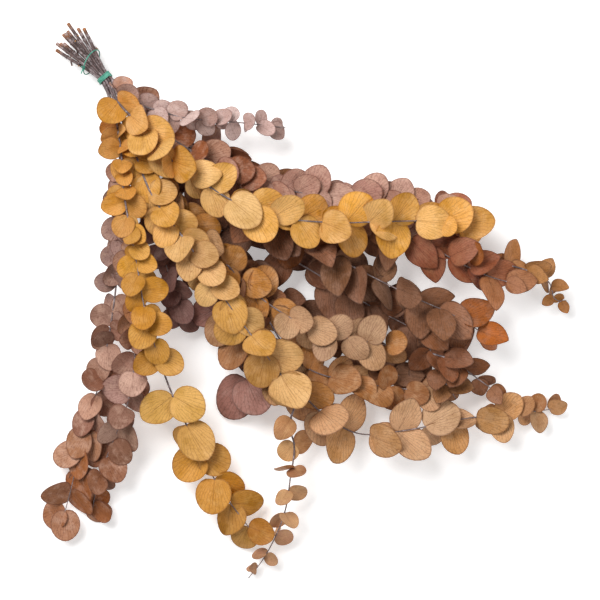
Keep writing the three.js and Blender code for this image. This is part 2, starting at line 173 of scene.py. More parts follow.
@dataclass(frozen=True)
class LeafFinish:
    """A eucalyptus leaf preserved with dyed glycerine, then dried: leathery, matt and a little waxy.

    The dye shows through a pale bloom that lies in patches. The veins hold more of it and stay darker.

    Attributes:
        slot: the end of the material's name, after glycerine_preserved_.
        underside: the colour that the underside tends to.
        bloom: the colour of the bloom.
        bloom_amount: how much of the leaf's colour the bloom hides where it lies.
        dark: the colour of the veins, the rim and the flecks.
        vein_amount: how strongly the veins show.
        mottle_amount: how strongly the fine mottling shows.
        rim_amount: how dark the rim is.
        roughness: the mean roughness.
        midrib_amount: how strongly the midrib shows.
        cloud_size, mottle_size, patch_size, wander_size, net_size: how large the clouds in the dye, the
            mottling, the bloom's patches, the veins' wandering and the cells of the net are, in metres.
        vein_count: how many side veins a half would have at the spread of 1.
        fan_point: how far behind the root the veins meet, as a share of the length.
        fan_wander: how far the veins wander, as a share of their spread.
    """

    slot: str
    underside: str
    bloom: str
    bloom_amount: float
    dark: str
    vein_amount: float
    mottle_amount: float
    rim_amount: float
    roughness: float

    midrib_amount = 0.35
    cloud_size = 0.018
    mottle_size = 0.0028
    patch_size = 0.011
    wander_size = 0.007
    net_size = 0.0024
    vein_count = 8
    fan_point = 0.14
    fan_wander = 0.14

    def material(self) -> bpy.types.Material:
        """Makes the leaf's material, on the leaf_colour attribute and the leaf UV map.

        Returns:
            The material.
        """
        made = Surface("glycerine_preserved_" + self.slot)
        place = made.add("TexCoord", output="Object")
        own = made.add("Attribute", output="Color", attribute_name="leaf_colour")
        veins, midrib, rim = self._vein_lines(made, place)

        clouds = made.add("TexNoise", {"Vector": place, "Scale": 1 / self.cloud_size, "Detail": 3.0})
        mottle = made.add(
            "TexNoise", {"Vector": place, "Scale": 1 / self.mottle_size, "Detail": 4.0, "Roughness": 0.7}
        )
        deep = made.add("HueSaturation", {"Color": own, "Value": 0.74, "Saturation": 1.08})
        shade = made.add("MapRange", {0: clouds, 1: 0.42, 2: 0.70, 4: 0.75}, interpolation_type="SMOOTHSTEP")
        colour = made.add("Mix", {0: shade, 6: own, 7: deep}, 2, data_type="RGBA")
        patches = made.add(
            "TexNoise", {"Vector": place, "Scale": 1 / self.patch_size, "Detail": 5.0, "Roughness": 0.6}
        )
        bloom = made.add(
            "MapRange", {0: patches, 1: 0.44, 2: 0.68, 4: self.bloom_amount}, interpolation_type="SMOOTHSTEP"
        )
        colour = made.add("Mix", {0: bloom, 6: colour, 7: linear(self.bloom)}, 2, data_type="RGBA")
        grit = made.add(
            "MapRange", {0: mottle, 1: 0.50, 2: 0.66, 4: self.mottle_amount}, interpolation_type="SMOOTHSTEP"
        )
        colour = made.add("Mix", {0: grit, 6: colour, 7: linear(self.dark)}, 2, data_type="RGBA")
        amounts = (self.vein_amount, self.midrib_amount, self.rim_amount)
        for lines, amount in zip((veins, midrib, rim), amounts):
            strength = made.add("Math", {0: lines, 1: amount}, operation="MULTIPLY")
            colour = made.add("Mix", {0: strength, 6: colour, 7: linear(self.dark)}, 2, data_type="RGBA")

        smooth, matt = self.roughness - 0.1, self.roughness + 0.12
        rough = made.add("MapRange", {0: mottle, 1: 0.3, 2: 0.7, 3: smooth, 4: matt})
        sunk = made.add("Math", {0: veins, 1: -0.6, 2: 0.0}, operation="MULTIPLY_ADD")
        relief = made.add("Math", {0: midrib, 1: -1.0, 2: sunk}, operation="MULTIPLY_ADD")
        relief = made.add("Math", {0: mottle, 1: 0.7, 2: relief}, operation="MULTIPLY_ADD")
        relief = made.add("Math", {0: clouds, 1: 2.5, 2: relief}, operation="MULTIPLY_ADD")
        bump = made.add("Bump", {"Height": relief, "Strength": 0.6, "Distance": 0.0005})
        return made.finish(Base_Color=colour, Roughness=rough, Normal=bump, Specular_IOR_Level=0.3)

    def _vein_lines(self, made: Surface, place: Socket) -> tuple[Socket, Socket, Socket]:
        """Draws the veins in the leaf's own coordinates.

        The side veins fan out from a point behind the root, some 3 mm apart at mid leaf, with a fine net
        between them. They are drawn some 0.5 mm wide, wider than a real leaf's, so that they show.

        Args:
            made: the material.
            place: the position on the piece.

        Returns:
            The strength of the side veins, of the midrib and of the rim.
        """
        leaf = made.add("UVMap", uv_map="leaf")
        along = made.add("SeparateXYZ", {0: leaf}, "X")
        across = made.add("SeparateXYZ", {0: leaf}, "Y")
        signed = made.add("Math", {0: across, 1: 0.5}, operation="SUBTRACT")
        off_midrib = made.add("Math", {0: signed}, operation="ABSOLUTE")
        wander = made.add("TexNoise", {"Vector": place, "Scale": 1 / self.wander_size, "Detail": 2.0})
        from_fan_point = made.add("Math", {0: along, 1: self.fan_point}, operation="ADD")
        fan = made.add("Math", {0: off_midrib, 1: from_fan_point}, operation="DIVIDE")
        fan = made.add("Math", {0: wander, 1: self.fan_wander, 2: fan}, operation="MULTIPLY_ADD")
        wave = made.add("Math", {0: fan, 1: 2 * math.pi * self.vein_count}, operation="MULTIPLY")
        wave = made.add("Math", {0: wave}, operation="SINE")
        side = made.add("MapRange", {0: wave, 1: 0.72, 2: 1.0, 4: 0.9}, interpolation_type="SMOOTHSTEP")
        cells = made.add(
            "TexVoronoi", {"Vector": place, "Scale": 1 / self.net_size}, feature="DISTANCE_TO_EDGE"
        )
        net = made.add("MapRange", {0: cells, 1: 0.10, 2: 0.02, 4: 0.35}, interpolation_type="SMOOTHSTEP")
        veins = made.add("Math", {0: side, 1: net}, operation="ADD", use_clamp=True)
        midrib = made.add("MapRange", {0: off_midrib, 1: 0.018, 2: 0.006}, interpolation_type="SMOOTHSTEP")
        fade = made.add("MapRange", {0: along, 1: 0.95, 2: 0.55}, interpolation_type="SMOOTHSTEP")
        midrib = made.add("Math", {0: midrib, 1: fade}, operation="MULTIPLY")
        reach = made.add("VectorMath", {0: leaf, 1: (0.5, 0.5, 0.0)}, "Value", operation="DISTANCE")
        rim = made.add("MapRange", {0: reach, 1: 0.450, 2: 0.496}, interpolation_type="SMOOTHSTEP")
        return veins, midrib, rim


@dataclass(frozen=True)
class BarkFinish:
    """Bark of young eucalyptus shoots: thin, smooth and waxy, grey-mauve, browner towards the cut end."""

    # The pale colour of the patches: the wax bloom, and painted highlight as well.
    bloom: str = "#beb0b2"
    crack: str = "#2b1d19"

    def material(self) -> bpy.types.Material:
        """Makes the bark, with pale patches and fine dark cracks, on the bark_colour attribute. The pale
        patches are partly wax bloom and partly painted highlight.

        Returns:
            The material.
        """
        made = Surface("smooth_eucalyptus_bark")
        place = made.add("TexCoord", output="Object")
        own = made.add("Attribute", output="Color", attribute_name="bark_colour")
        patches = made.add("TexNoise", {"Vector": place, "Scale": 1 / 0.005, "Detail": 3.0})
        grain = made.add("TexNoise", {"Vector": place, "Scale": 1 / 0.0011, "Detail": 4.0})
        # Pale patches at random places, part wax bloom and part painted highlight, not placed where the light
        # falls.
        wax_and_painted_highlight = made.add("MapRange", {0: patches, 1: 0.48, 2: 0.66, 4: 0.55}, interpolation_type="SMOOTHSTEP")
        cracks = made.add("MapRange", {0: grain, 1: 0.50, 2: 0.64, 4: 0.75}, interpolation_type="SMOOTHSTEP")
        colour = made.add("Mix", {0: wax_and_painted_highlight, 6: own, 7: linear(self.bloom)}, 2, data_type="RGBA")
        colour = made.add("Mix", {0: cracks, 6: colour, 7: linear(self.crack)}, 2, data_type="RGBA")
        rough = made.add("MapRange", {0: patches, 1: 0.3, 2: 0.7, 3: 0.42, 4: 0.66})
        relief = made.add("Math", {0: patches, 1: 0.7, 2: grain}, operation="MULTIPLY_ADD")
        bump = made.add("Bump", {"Height": relief, "Strength": 0.7, "Distance": 0.0004})
        return made.finish(Base_Color=colour, Roughness=rough, Normal=bump)


@dataclass(frozen=True)
class CutWoodFinish:
    """Wood of a stem cut with shears: dry orange-brown end grain, torn a little by the blade."""

    light: str = "#d9a56c"
    dark: str = "#a9683a"

    def material(self) -> bpy.types.Material:
        """Makes the end grain.

        Returns:
            The material.
        """
        made = Surface("sheared_eucalyptus_wood")
        place = made.add("TexCoord", output="Object")
        grain = made.add("TexNoise", {"Vector": place, "Scale": 1 / 0.0007, "Detail": 4.0})
        share = made.add("MapRange", {0: grain, 1: 0.35, 2: 0.65})
        colour = made.add("Mix", {0: share, 6: linear(self.dark), 7: linear(self.light)}, 2, data_type="RGBA")
        rough = made.add("MapRange", {0: grain, 1: 0.3, 2: 0.7, 3: 0.65, 4: 0.85})
        bump = made.add("Bump", {"Height": grain, "Strength": 0.6, "Distance": 0.0003})
        return made.finish(Base_Color=colour, Roughness=rough, Normal=bump)


@dataclass(frozen=True)
class ElasticFinish:
    """Extruded rubber elastic, moulded in one green colour: soft, dusty and faintly glossy."""

    light: str = "#62ae98"
    dark: str = "#2f8771"

    def material(self) -> bpy.types.Material:
        """Makes the rubber, with dust in clouds and fine marks where it has stretched.

        Returns:
            The material.
        """
        made = Surface("extruded_green_rubber")
        place = made.add("TexCoord", output="Object")
        clouds = made.add("TexNoise", {"Vector": place, "Scale": 1 / 0.005, "Detail": 3.0})
        marks = made.add("TexNoise", {"Vector": place, "Scale": 1 / 0.0008, "Detail": 3.0})
        share = made.add("MapRange", {0: clouds, 1: 0.35, 2: 0.65})
        colour = made.add("Mix", {0: share, 6: linear(self.dark), 7: linear(self.light)}, 2, data_type="RGBA")
        rough = made.add("MapRange", {0: marks, 1: 0.3, 2: 0.7, 3: 0.40, 4: 0.62})
        bump = made.add("Bump", {"Height": marks, "Strength": 0.5, "Distance": 0.0002})
        return made.finish(Base_Color=colour, Roughness=rough, Normal=bump)


@dataclass(frozen=True)
class Outline:
    """A leaf's outline, in shares of half its length.

    Attributes:
        width: half the width.
        fullness: how much wider the half by the stem is.
        notch: how far the lobes by the stem reach back past it.
        tip: how far the point stands out.
    """

    width: float
    fullness: float
    notch: float
    tip: float

    notch_spread = 0.42
    tip_spread = 0.30

    def at(self, x: float, y: float) -> tuple[float, float]:
        """Maps a place on the unit disc to the leaf.

        Args:
            x: the place along the midrib, -1 at the root.
            y: the place across it.

        Returns:
            The place along and across the leaf.
        """
        reach = math.hypot(x, y) ** 3
        from_root = math.atan2(abs(y), -x) / self.notch_spread
        from_tip = math.atan2(abs(y), x) / self.tip_spread
        dent = self.notch * reach * math.exp(-(from_root**2))
        point = self.tip * reach * math.exp(-(from_tip**2))
        return x + dent + point - self.notch * (1 - x) / 2, y * self.width * (1 - self.fullness * x)

    def varied(self, luck: random.Random) -> "Outline":
        """One leaf's own outline.

        Args:
            luck: the branch's random numbers.

        Returns:
            An outline close to this one.
        """
        return Outline(
            self.width * luck.uniform(0.92, 1.06),
            self.fullness + luck.uniform(-0.05, 0.07),
            self.notch * luck.uniform(0.3, 1.3),
            self.tip + luck.uniform(-0.01, 0.04),
        )


class Tone(Enum):
    """The dye of a branch's leaves."""

    GOLDEN = LeafFinish("golden_leaf", "#c99352", "#eec58a", 0.24, "#7c3f0c", 0.35, 0.22, 0.36, 0.50)
    DEEP_GOLDEN = LeafFinish(
        "deep_golden_leaf", "#bd8434", "#e4b56c", 0.20, "#6c370a", 0.35, 0.24, 0.40, 0.50
    )
    TAN = LeafFinish("tan_leaf", "#b4845a", "#dab48c", 0.28, "#5c2c12", 0.38, 0.30, 0.50, 0.56)
    BROWN = LeafFinish("brown_leaf", "#84583f", "#a8806a", 0.28, "#2c1206", 0.36, 0.32, 0.50, 0.56)
    RED_BROWN = LeafFinish("red_brown_leaf", "#94603e", "#b98662", 0.26, "#3e1407", 0.34, 0.30, 0.50, 0.54)
    MAUVE = LeafFinish("mauve_leaf", "#b08468", "#d8b29c", 0.36, "#5c2c1c", 0.32, 0.40, 0.56, 0.62)
    DARK_MAUVE = LeafFinish("dark_mauve_leaf", "#8e6050", "#b08c80", 0.32, "#34160f", 0.30, 0.30, 0.50, 0.56)
    PINK = LeafFinish("pink_leaf", "#b89a90", "#dcc7c0", 0.36, "#633630", 0.30, 0.36, 0.56, 0.62)


class Blade(Enum):
    """The outline of a branch's leaves."""

    ROUND = Outline(width=0.98, fullness=0.08, notch=0.17, tip=0.01)
    POINTED = Outline(width=0.84, fullness=0.16, notch=0.10, tip=0.10)


# --- Branches -----------------------------------------------------------------------------------------


@dataclass(frozen=True)
class Shoot:
    """One shoot: where it runs, and its leaves.

    Attributes:
        route: the points it runs through. A branch's first shoot comes from the waist.
        leafy_from: how far along the leaves begin.
        leaf_lengths: leaf lengths from the first leaf to the last.
        colours: leaf colours from the first leaf to the last.
        spacing: the distance from pair to pair, as a share of the leaf's length.
        swing: how freely its leaves swing at first, where that isn't as on the rest of the branch.
    """

    route: tuple[Point, ...]
    leafy_from: float
    leaf_lengths: tuple[float, ...]
    colours: tuple[str, ...]
    spacing: float = LEAF_SPACING
    swing: float | None = None


@dataclass(frozen=True)
class BranchPlan:
    """One cut branch.

    Attributes:
        name: the model's node.
        tone: the dye.
        blade: the outline of its leaves.
        column: the stem's column in the waist.
        row: the stem's row in the waist.
        butt: the cut end.
        lift: how far the side leaves like to rise, in degrees.
        swing: how freely the leaves swing at first.
        shoots: the main stem, then its side shoots.
    """

    name: str
    tone: Tone
    blade: Blade
    column: float
    row: int
    butt: Point
    lift: float
    swing: float
    shoots: tuple[Shoot, ...]

    def full_route(self, index: int) -> list[Point]:
        """The points of a shoot, with the cut end and the waist in front of the main stem's.

        Args:
            index: the shoot's place in the list.

        Returns:
            The points, in the layout's millimetres.
        """
        route = list(self.shoots[index].route)
        if index:
            return route
        y = self.column * STEM_PITCH
        z = WAIST_HEIGHT + self.row * ROW_PITCH
        waist = [(-WAIST_HALF_LENGTH, y, z - WAIST_RISE), (WAIST_HALF_LENGTH, y, z + WAIST_RISE)]
        return [self.butt, *waist, *route]


# Those on top of the bunch come first, because the first ones choose their room first.
BRANCHES = (
    BranchPlan("golden_front_branch", Tone.GOLDEN, Blade.ROUND, 0.5, 1, (-74, 7, 24), 6, 0.5, (
        Shoot(
            ((34, -6, 56), (63, -5, 71), (93, -5, 80), (129, -1, 87), (162, 8, 91), (197, 19, 94),
             (224, 32, 92), (255, 56, 87), (291, 94, 80), (318, 128, 76), (352, 170, 68), (386, 203, 54)),
            34, (34, 36, 37, 38, 38, 38, 38, 37, 36),
            ("#d08a34", "#dca040", "#d19440", "#d8a255", "#e0a450", "#dd9940", "#df9f40", "#e0a04a",
             "#d8a05a"),
            0.68,
        ),
    )),
    BranchPlan("golden_inner_branch", Tone.GOLDEN, Blade.ROUND, -0.5, 1, (-68, -3, 22), 6, 0.5, (
        Shoot(
            ((36, -11, 48), (86, -27, 58), (137, -43, 68), (207, -47, 78), (280, -55, 80),
             (343, -59, 72), (407, -63, 62)),
            60, (27, 30, 31, 31, 33, 38, 44, 48),
            ("#cf8f35", "#d1963f", "#cf9c58", "#d0a068", "#d09a4c", "#c8965a", "#b5803c"), 0.66,
        ),
        Shoot(
            ((407, -63, 62), (425, -90, 50), (446, -101, 46), (472, -129, 40), (491, -150, 34),
             (508, -177, 28), (522, -211, 20), (528, -237, 14)),
            26, (26, 24, 22, 24, 22, 18, 12), ("#c08a5a", "#b5805c", "#b98a6a", "#a97a5c"), 1.15, 1.5,
        ),
    )),
    BranchPlan("golden_left_branch", Tone.DEEP_GOLDEN, Blade.ROUND, -1.5, 1, (-66, -17, 19), 6, 0.5, (
        Shoot(
            ((39, -17, 50), (77, -38, 60), (104, -57, 70), (130, -73, 76), (154, -86, 80), (183, -102, 82),
             (220, -124, 80), (256, -142, 74), (281, -153, 64)),
            44, (25, 25, 25, 25, 26, 28, 30, 34),
            ("#cf8a48", "#d1944a", "#c98a3c", "#cf9440", "#c88a2c", "#c07f18", "#cf9444"), 0.64,
        ),
        Shoot(
            ((281, -153, 64), (311, -165, 52), (352, -177, 44), (392, -187, 40), (434, -195, 34),
             (473, -198, 28), (502, -200, 20)),
            42, (42, 40, 40, 38, 34), ("#e1ad5c", "#d39a50", "#c78728", "#b8740f", "#b07430"), 0.85, 0.4,
        ),
    )),
    BranchPlan("pink_branch", Tone.PINK, Blade.ROUND, 1.5, 1, (-58, 17, 27), 6, 0.8, (
        Shoot(
            ((26, -1, 54), (44, 6, 60), (68, 20, 61), (93, 38, 57), (136, 82, 49), (171, 117, 37)),
            18, (23, 24, 23, 22, 20, 18), ("#c29178", "#c4a69e", "#be9a8d", "#c4a39c", "#bb988b"), 0.75,
        ),
    )),
    BranchPlan("tan_inner_branch", Tone.TAN, Blade.ROUND, -1, 0, (-62, -11, 13), 2, 0.8, (
        Shoot(
            ((42, -12, 39), (107, -26, 46), (175, -30, 50), (243, -29, 54), (299, -24, 56),
             (360, -2, 62), (442, 61, 46)),
            90, (28, 30, 30, 32, 34, 34, 34, 30),
            ("#a86b32", "#b87b39", "#b57c3d", "#b97a36", "#c3956f", "#bb9271", "#b97d48"), 0.66,
        ),
        Shoot(
            ((243, -29, 54), (309, -32, 46), (361, -39, 42), (395, -33, 40), (448, 6, 38), (507, 62, 26)),
            20, (30, 34, 36, 34, 30, 28), ("#8a5133", "#9c6742", "#b97d48", "#a56b3c", "#a0633d"), 0.66,
        ),
    )),
    BranchPlan("mauve_back_branch", Tone.MAUVE, Blade.ROUND, 1, 0, (-64, 12, 17), 4, 0.35, (
        Shoot(
            ((74, 5, 47), (114, 17, 50), (148, 29, 56), (194, 50, 57), (241, 86, 56), (276, 121, 55),
             (312, 155, 52), (339, 183, 48), (365, 209, 42)),
            45, (32, 33, 33, 32, 32, 32, 34),
            ("#7c4017", "#8c4b1b", "#a0664a", "#b58675", "#bf9181", "#bb8c7e", "#b5846c", "#a85b3a"), 0.48,
        ),
    )),
    BranchPlan("brown_long_branch", Tone.BROWN, Blade.POINTED, 0, 0, (-70, 1, 12), 2, 0.85, (
        Shoot(
            ((44, 1, 40), (99, 5, 44), (160, 12, 48), (219, 27, 50), (281, 53, 54), (342, 77, 58),
             (402, 103, 58), (450, 126, 52), (495, 141, 40)),
            90, (32, 38, 42, 42, 42, 44, 38),
            ("#643c25", "#6e4129", "#7b4a2d", "#7c441e", "#885f41", "#9c6647", "#b4611c"), 0.6,
        ),
        Shoot(
            ((402, 103, 58), (435, 92, 48), (465, 80, 42), (495, 72, 36), (522, 69, 28)),
            12, (38, 36, 30, 24), ("#8e562e", "#8c5537", "#a57345"),
        ),
        Shoot(
            ((465, 80, 42), (481, 90, 42), (510, 99, 36), (541, 107, 28)),
            14, (34, 30, 22), ("#8c5537", "#a0663d"),
        ),
    )),
    BranchPlan("brown_right_branch", Tone.RED_BROWN, Blade.POINTED, 1.5, -1, (-52, 15, 9), 2, 0.85, (
        Shoot(
            ((55, 12, 33), (127, 30, 38), (203, 58, 42), (265, 85, 44), (320, 118, 48), (365, 150, 54),
             (404, 165, 60), (437, 180, 58), (469, 202, 50)),
            130, (34, 36, 38, 38, 38, 34),
            ("#6e402a", "#7b492b", "#824b2f", "#95644a", "#92492e", "#b57950"), 0.62,
        ),
        Shoot(
            ((404, 165, 60), (445, 207, 52), (488, 230, 38), (507, 224, 30), (518, 231, 22)),
            14, (32, 32, 28, 20, 14), ("#a95d2a", "#c08953", "#b57432"),
        ),
    )),
    BranchPlan("tan_low_branch", Tone.TAN, Blade.ROUND, -0.5, -1, (-72, -5, 4), 2, 0.6, (
        Shoot(
            ((43, -13, 31), (110, -40, 34), (184, -56, 36), (265, -66, 38), (338, -66, 42), (407, -58, 46),
             (449, -52, 48), (482, -37, 46), (510, 1, 42), (546, 65, 36), (574, 104, 28), (603, 147, 16)),
            290, (36, 42, 42, 42, 42, 42, 40, 36, 26, 22),
            ("#a0693e", "#b5762c", "#b87830", "#cc9b73", "#d09960", "#cc9d77", "#d09960", "#c88849",
             "#ac7142"),
            0.74,
        ),
    )),
    BranchPlan("mauve_left_branch", Tone.MAUVE, Blade.ROUND, -2, 0, (-62, -22, 12), 2, 0.75, (
        Shoot(
            ((26, -13, 38), (73, -40, 41), (121, -77, 43), (165, -118, 42), (207, -162, 42), (239, -201, 40),
             (269, -242, 36), (298, -286, 30), (325, -324, 24), (350, -361, 16)),
            90, (24, 26, 26, 27, 29, 32, 36, 38, 34),
            ("#a87b61", "#a88579", "#a0817a", "#9c725c", "#9c6a58", "#a8724e", "#a06033", "#964f00"), 0.64,
        ),
        Shoot(
            ((121, -77, 43), (170, -104, 48), (215, -136, 50), (253, -167, 50), (287, -204, 44),
             (313, -250, 36), (336, -293, 26), (359, -323, 16)),
            20, (26, 28, 30, 32, 32, 30, 28), ("#b0866e", "#b0774d", "#b0887c", "#845a44", "#a05921"), 0.64,
        ),
    )),
    BranchPlan("mauve_low_branch", Tone.DARK_MAUVE, Blade.ROUND, -1.5, -1, (-66, -14, 4), 0, 0.45, (
        Shoot(
            ((37, -17, 28), (100, -31, 28), (180, -40, 26), (255, -54, 24), (304, -72, 23), (344, -90, 22),
             (376, -104, 18)),
            232, (30, 38, 48, 50), ("#7a4e46", "#946055", "#a67365", "#9c6a5e"),
        ),
        Shoot(
            ((100, -31, 28), (141, -52, 28), (182, -72, 33), (224, -91, 34), (266, -109, 26)),
            14, (24, 26, 28, 28), ("#6a443a", "#7c544a", "#7a4e46", "#6c4640"), 0.6, 0.7,
        ),
    )),
    BranchPlan("brown_deep_branch", Tone.BROWN, Blade.POINTED, 0.5, -1, (-58, 5, 4), 0, 0.6, (
        Shoot(
            ((60, -3, 31), (107, -9, 33), (172, -3, 34), (248, 16, 32), (320, 41, 32), (381, 62, 31),
             (480, 103, 20)),
            80, (34, 40, 42, 42, 40, 36), ("#5f3824", "#6a3d28", "#7b4a2d", "#8a5433"), 0.64,
        ),
        Shoot(
            ((172, -3, 34), (256, -13, 26), (321, -10, 24), (383, 4, 24), (442, 26, 22), (489, 53, 18)),
            20, (34, 38, 38, 36, 32), ("#5f3824", "#6a422e", "#7b4d30", "#8c5f40"), 0.68,
        ),
    )),
)


# --- Layout -------------------------------------------------------------------------------------------


class Route:
    """A smooth line through points, cut into short straight pieces and measured along its length."""

    def __init__(self, points: Sequence[Point]) -> None:
        """Smooths and measures the line.

        Args:
            points: the points to pass through.
        """
        knots = [np.array(point, float) for point in points]
        knots = [2 * knots[0] - knots[1], *knots, 2 * knots[-1] - knots[-2]]
        samples = []
        for before, start, end, after in zip(knots, knots[1:], knots[2:], knots[3:]):
            samples.extend(self._span(before, start, end, after))
        self.points = np.array([*samples, knots[-2]])
        steps = np.linalg.norm(np.diff(self.points, axis=0), axis=1)
        self.distances = np.concatenate([[0.0], np.cumsum(steps)])
        self.length = float(self.distances[-1])

    @staticmethod
    def _span(before: np.ndarray, start: np.ndarray, end: np.ndarray, after: np.ndarray) -> list[np.ndarray]:
        """Points of one centripetal Catmull-Rom span, without its last.

        Args:
            before: the point before the span.
            start: the span's first point.
            end: its last point.
            after: the point after it.

        Returns:
            The points, evenly spaced in the span's own measure.
        """
        lead, middle, trail = (
            float(np.linalg.norm(b - a)) ** 0.5 for a, b in ((before, start), (start, end), (end, after))
        )
        leaving = (start - before) / lead - (end - before) / (lead + middle) + (end - start) / middle
        arriving = (end - start) / middle - (after - start) / (middle + trail) + (after - end) / trail
        leaving, arriving = leaving * middle, arriving * middle
        square = 3 * (end - start) - 2 * leaving - arriving
        cube = 2 * (start - end) + leaving + arriving
        shares = [i / SAMPLES_PER_SPAN for i in range(SAMPLES_PER_SPAN)]
        return [start + leaving * t + square * t * t + cube * t**3 for t in shares]

    def at(self, distance: float) -> tuple[np.ndarray, np.ndarray]:
        """The point and the direction at a distance along the line.

        Args:
            distance: the distance from the line's start.

        Returns:
            The point, and a unit vector.
        """
        i = int(np.searchsorted(self.distances, distance, side="right")) - 1
        i = max(0, min(i, len(self.points) - 2))
        start, end = self.points[i], self.points[i + 1]
        share = (distance - self.distances[i]) / (self.distances[i + 1] - self.distances[i])
        return start + (end - start) * share, (end - start) / np.linalg.norm(end - start)


def value_along(values: Sequence[float], share: float) -> float:
    """The value at a share of the way through a short list, in straight steps.

    Args:
        values: the list.
        share: 0 for its first value, 1 for its last.

    Returns:
        The value.
    """
    place = share * (len(values) - 1)
    i = min(int(place), len(values) - 2)
    return values[i] + (values[i + 1] - values[i]) * (place - i)


class Chance:
    """A small repeatable random number source, the same as the model's."""

    def __init__(self, seed: int) -> None:
        """Starts at a seed."""
        self.state = seed

    def draw(self) -> float:
        """A number from 0 to 1."""
        self.state = (self.state * 1664525 + 1013904223) & 0xFFFFFFFF
        return self.state / 4294967296

    def around(self, amount: float) -> float:
        """A number from -amount to amount."""
        return amount * (2 * self.draw() - 1)


@dataclass
class Leaf:
    """One leaf's place: the disc that it fills, the directions of its midrib and upper face, and its spot."""

    root: np.ndarray
    midrib: np.ndarray
    normal: np.ndarray
    size: float
    shoot: int = 0
    distance: float = 0.0
    share: float = 0.0

    @property
    def centre(self) -> np.ndarray:
        """The middle of the leaf."""
        return self.root + self.midrib * (self.size / 2)


class Room:
    """Everything placed so far: stems as straight pieces, and leaves as discs."""

    def __init__(self) -> None:
        """Starts empty."""
        self.starts = np.zeros((0, 3))
        self.ends = np.zeros((0, 3))
        self.radii = np.zeros(0)
        self.stem_owners = np.zeros(0, int)
        self.centres = np.zeros((0, 3))
        self.normals = np.zeros((0, 3))
        self.sizes = np.zeros(0)
        self.roots = np.zeros((0, 3))
        self.owners = np.zeros(0, int)

    def add_stem(self, points: np.ndarray, radius: float, owner: int) -> None:
        """Adds a stem.

        Args:
            points: the stem's middle line.
            radius: its radius.
            owner: the number of its branch.
        """
        count = len(points) - 1
        self.starts = np.vstack([self.starts, points[:-1]])
        self.ends = np.vstack([self.ends, points[1:]])
        self.radii = np.concatenate([self.radii, np.full(count, radius)])
        self.stem_owners = np.concatenate([self.stem_owners, np.full(count, owner)])

    def add_leaf(self, leaf: Leaf, owner: int) -> None:
        """Adds a leaf.

        Args:
            leaf: the leaf.
            owner: the number of its branch.
        """
        self.centres = np.vstack([self.centres, leaf.centre])
        self.normals = np.vstack([self.normals, leaf.normal])
        self.sizes = np.append(self.sizes, leaf.size / 2)
        self.roots = np.vstack([self.roots, leaf.root])
        self.owners = np.append(self.owners, owner)

    def is_free(self, leaf: Leaf, owner: int) -> bool:
        """Whether a leaf clears the surface, the other branches' stems and every leaf.

        Args:
            leaf: the leaf.
            owner: the number of its branch.

        Returns:
            True if it has room.
        """
        radius = leaf.size / 2
        drop = radius * math.sqrt(max(0.0, 1 - leaf.normal[2] ** 2))
        if leaf.centre[2] - drop < FLOOR_GAP:
            return False
        return not self._meets_stem(leaf, radius, owner) and not self._meets_leaf(leaf, radius, owner)

    def _meets_stem(self, leaf: Leaf, radius: float, owner: int) -> bool:
        """Whether a piece of stem comes through the leaf, or too close to it.

        Args:
            leaf: the leaf.
            radius: its radius.
            owner: the number of its branch.

        Returns:
            True if a stem is in its way.
        """
        limit = self.radii + STEM_GAP
        start = (self.starts - leaf.centre) @ leaf.normal
        end = (self.ends - leaf.centre) @ leaf.normal
        near = (np.minimum(start, end) <= limit) & (np.maximum(start, end) >= -limit)
        near &= self.stem_owners != owner
        if not near.any():
            return False
        start, end, limit, radii = start[near], end[near], limit[near], self.radii[near]
        rise = end - start
        slanted = np.abs(rise) > 1e-9
        safe = np.where(slanted, rise, 1.0)
        low, high = (-limit - start) / safe, (limit - start) / safe
        enter = np.where(slanted, np.clip(np.minimum(low, high), 0, 1), 0.0)[:, None]
        leave = np.where(slanted, np.clip(np.maximum(low, high), 0, 1), 1.0)[:, None]
        step = self.ends[near] - self.starts[near]
        first = self.starts[near] + step * enter
        reach = step * (leave - enter)
        lengths = np.maximum((reach**2).sum(1), 1e-30)
        share = np.clip(((leaf.centre - first) * reach).sum(1) / lengths, 0, 1)[:, None]
        offset = first + reach * share - leaf.centre
        offset -= (offset @ leaf.normal)[:, None] * leaf.normal
        return bool((np.linalg.norm(offset, axis=1) < radius + radii + RIM_GAP).any())

    def _meets_leaf(self, leaf: Leaf, radius: float, owner: int) -> bool:
        """Whether two discs cross or come too close, along the line in which their planes meet.

        Args:
            leaf: the leaf.
            radius: its radius.
            owner: the number of its branch.

        Returns:
            True if a leaf is in its way.
        """
        if not len(self.sizes):
            return False
        same = self.owners == owner
        gap = np.where(same, SAME_BRANCH_GAP, LEAF_GAP)
        size = np.where(same, SAME_BRANCH_SIZE, 1.0)
        size = np.where((self.roots == leaf.root).all(axis=1), PAIR_SIZE, size)
        between = self.centres - leaf.centre
        own_radius, other_radius = radius * size, self.sizes * size
        cosine = self.normals @ leaf.normal
        sine = np.sqrt(np.maximum(0, 1 - cosine * cosine))
        apart = np.linalg.norm(between, axis=1) >= own_radius + other_radius + gap
        apart |= np.abs(between @ leaf.normal) > other_radius * sine + gap
        apart |= np.abs((between * self.normals).sum(1)) > own_radius * sine + gap
        if apart.all():
            return False
        if (sine[~apart] < PARALLEL_SINE).any():
            return True
        between, sine, gap = between[~apart], sine[~apart], gap[~apart]
        normals = self.normals[~apart]
        line = np.cross(leaf.normal, normals) / sine[:, None]
        across = np.cross(line, leaf.normal)
        shares = (between * normals).sum(1) / (across * normals).sum(1)
        nearest = across * shares[:, None]
        from_other = nearest - between
        shift = -(from_other * line).sum(1)
        nearest_other = from_other + line * shift[:, None]
        own_reach = own_radius[~apart] + gap / sine / 2
        other_reach = other_radius[~apart] + gap / sine / 2
        own_chord = np.sqrt(np.maximum(0, own_reach**2 - (nearest**2).sum(1)))
        other_chord = np.sqrt(np.maximum(0, other_reach**2 - (nearest_other**2).sum(1)))
        meets = (own_chord > 0) & (other_chord > 0) & (np.abs(shift) < own_chord + other_chord)
        return bool(meets.any())


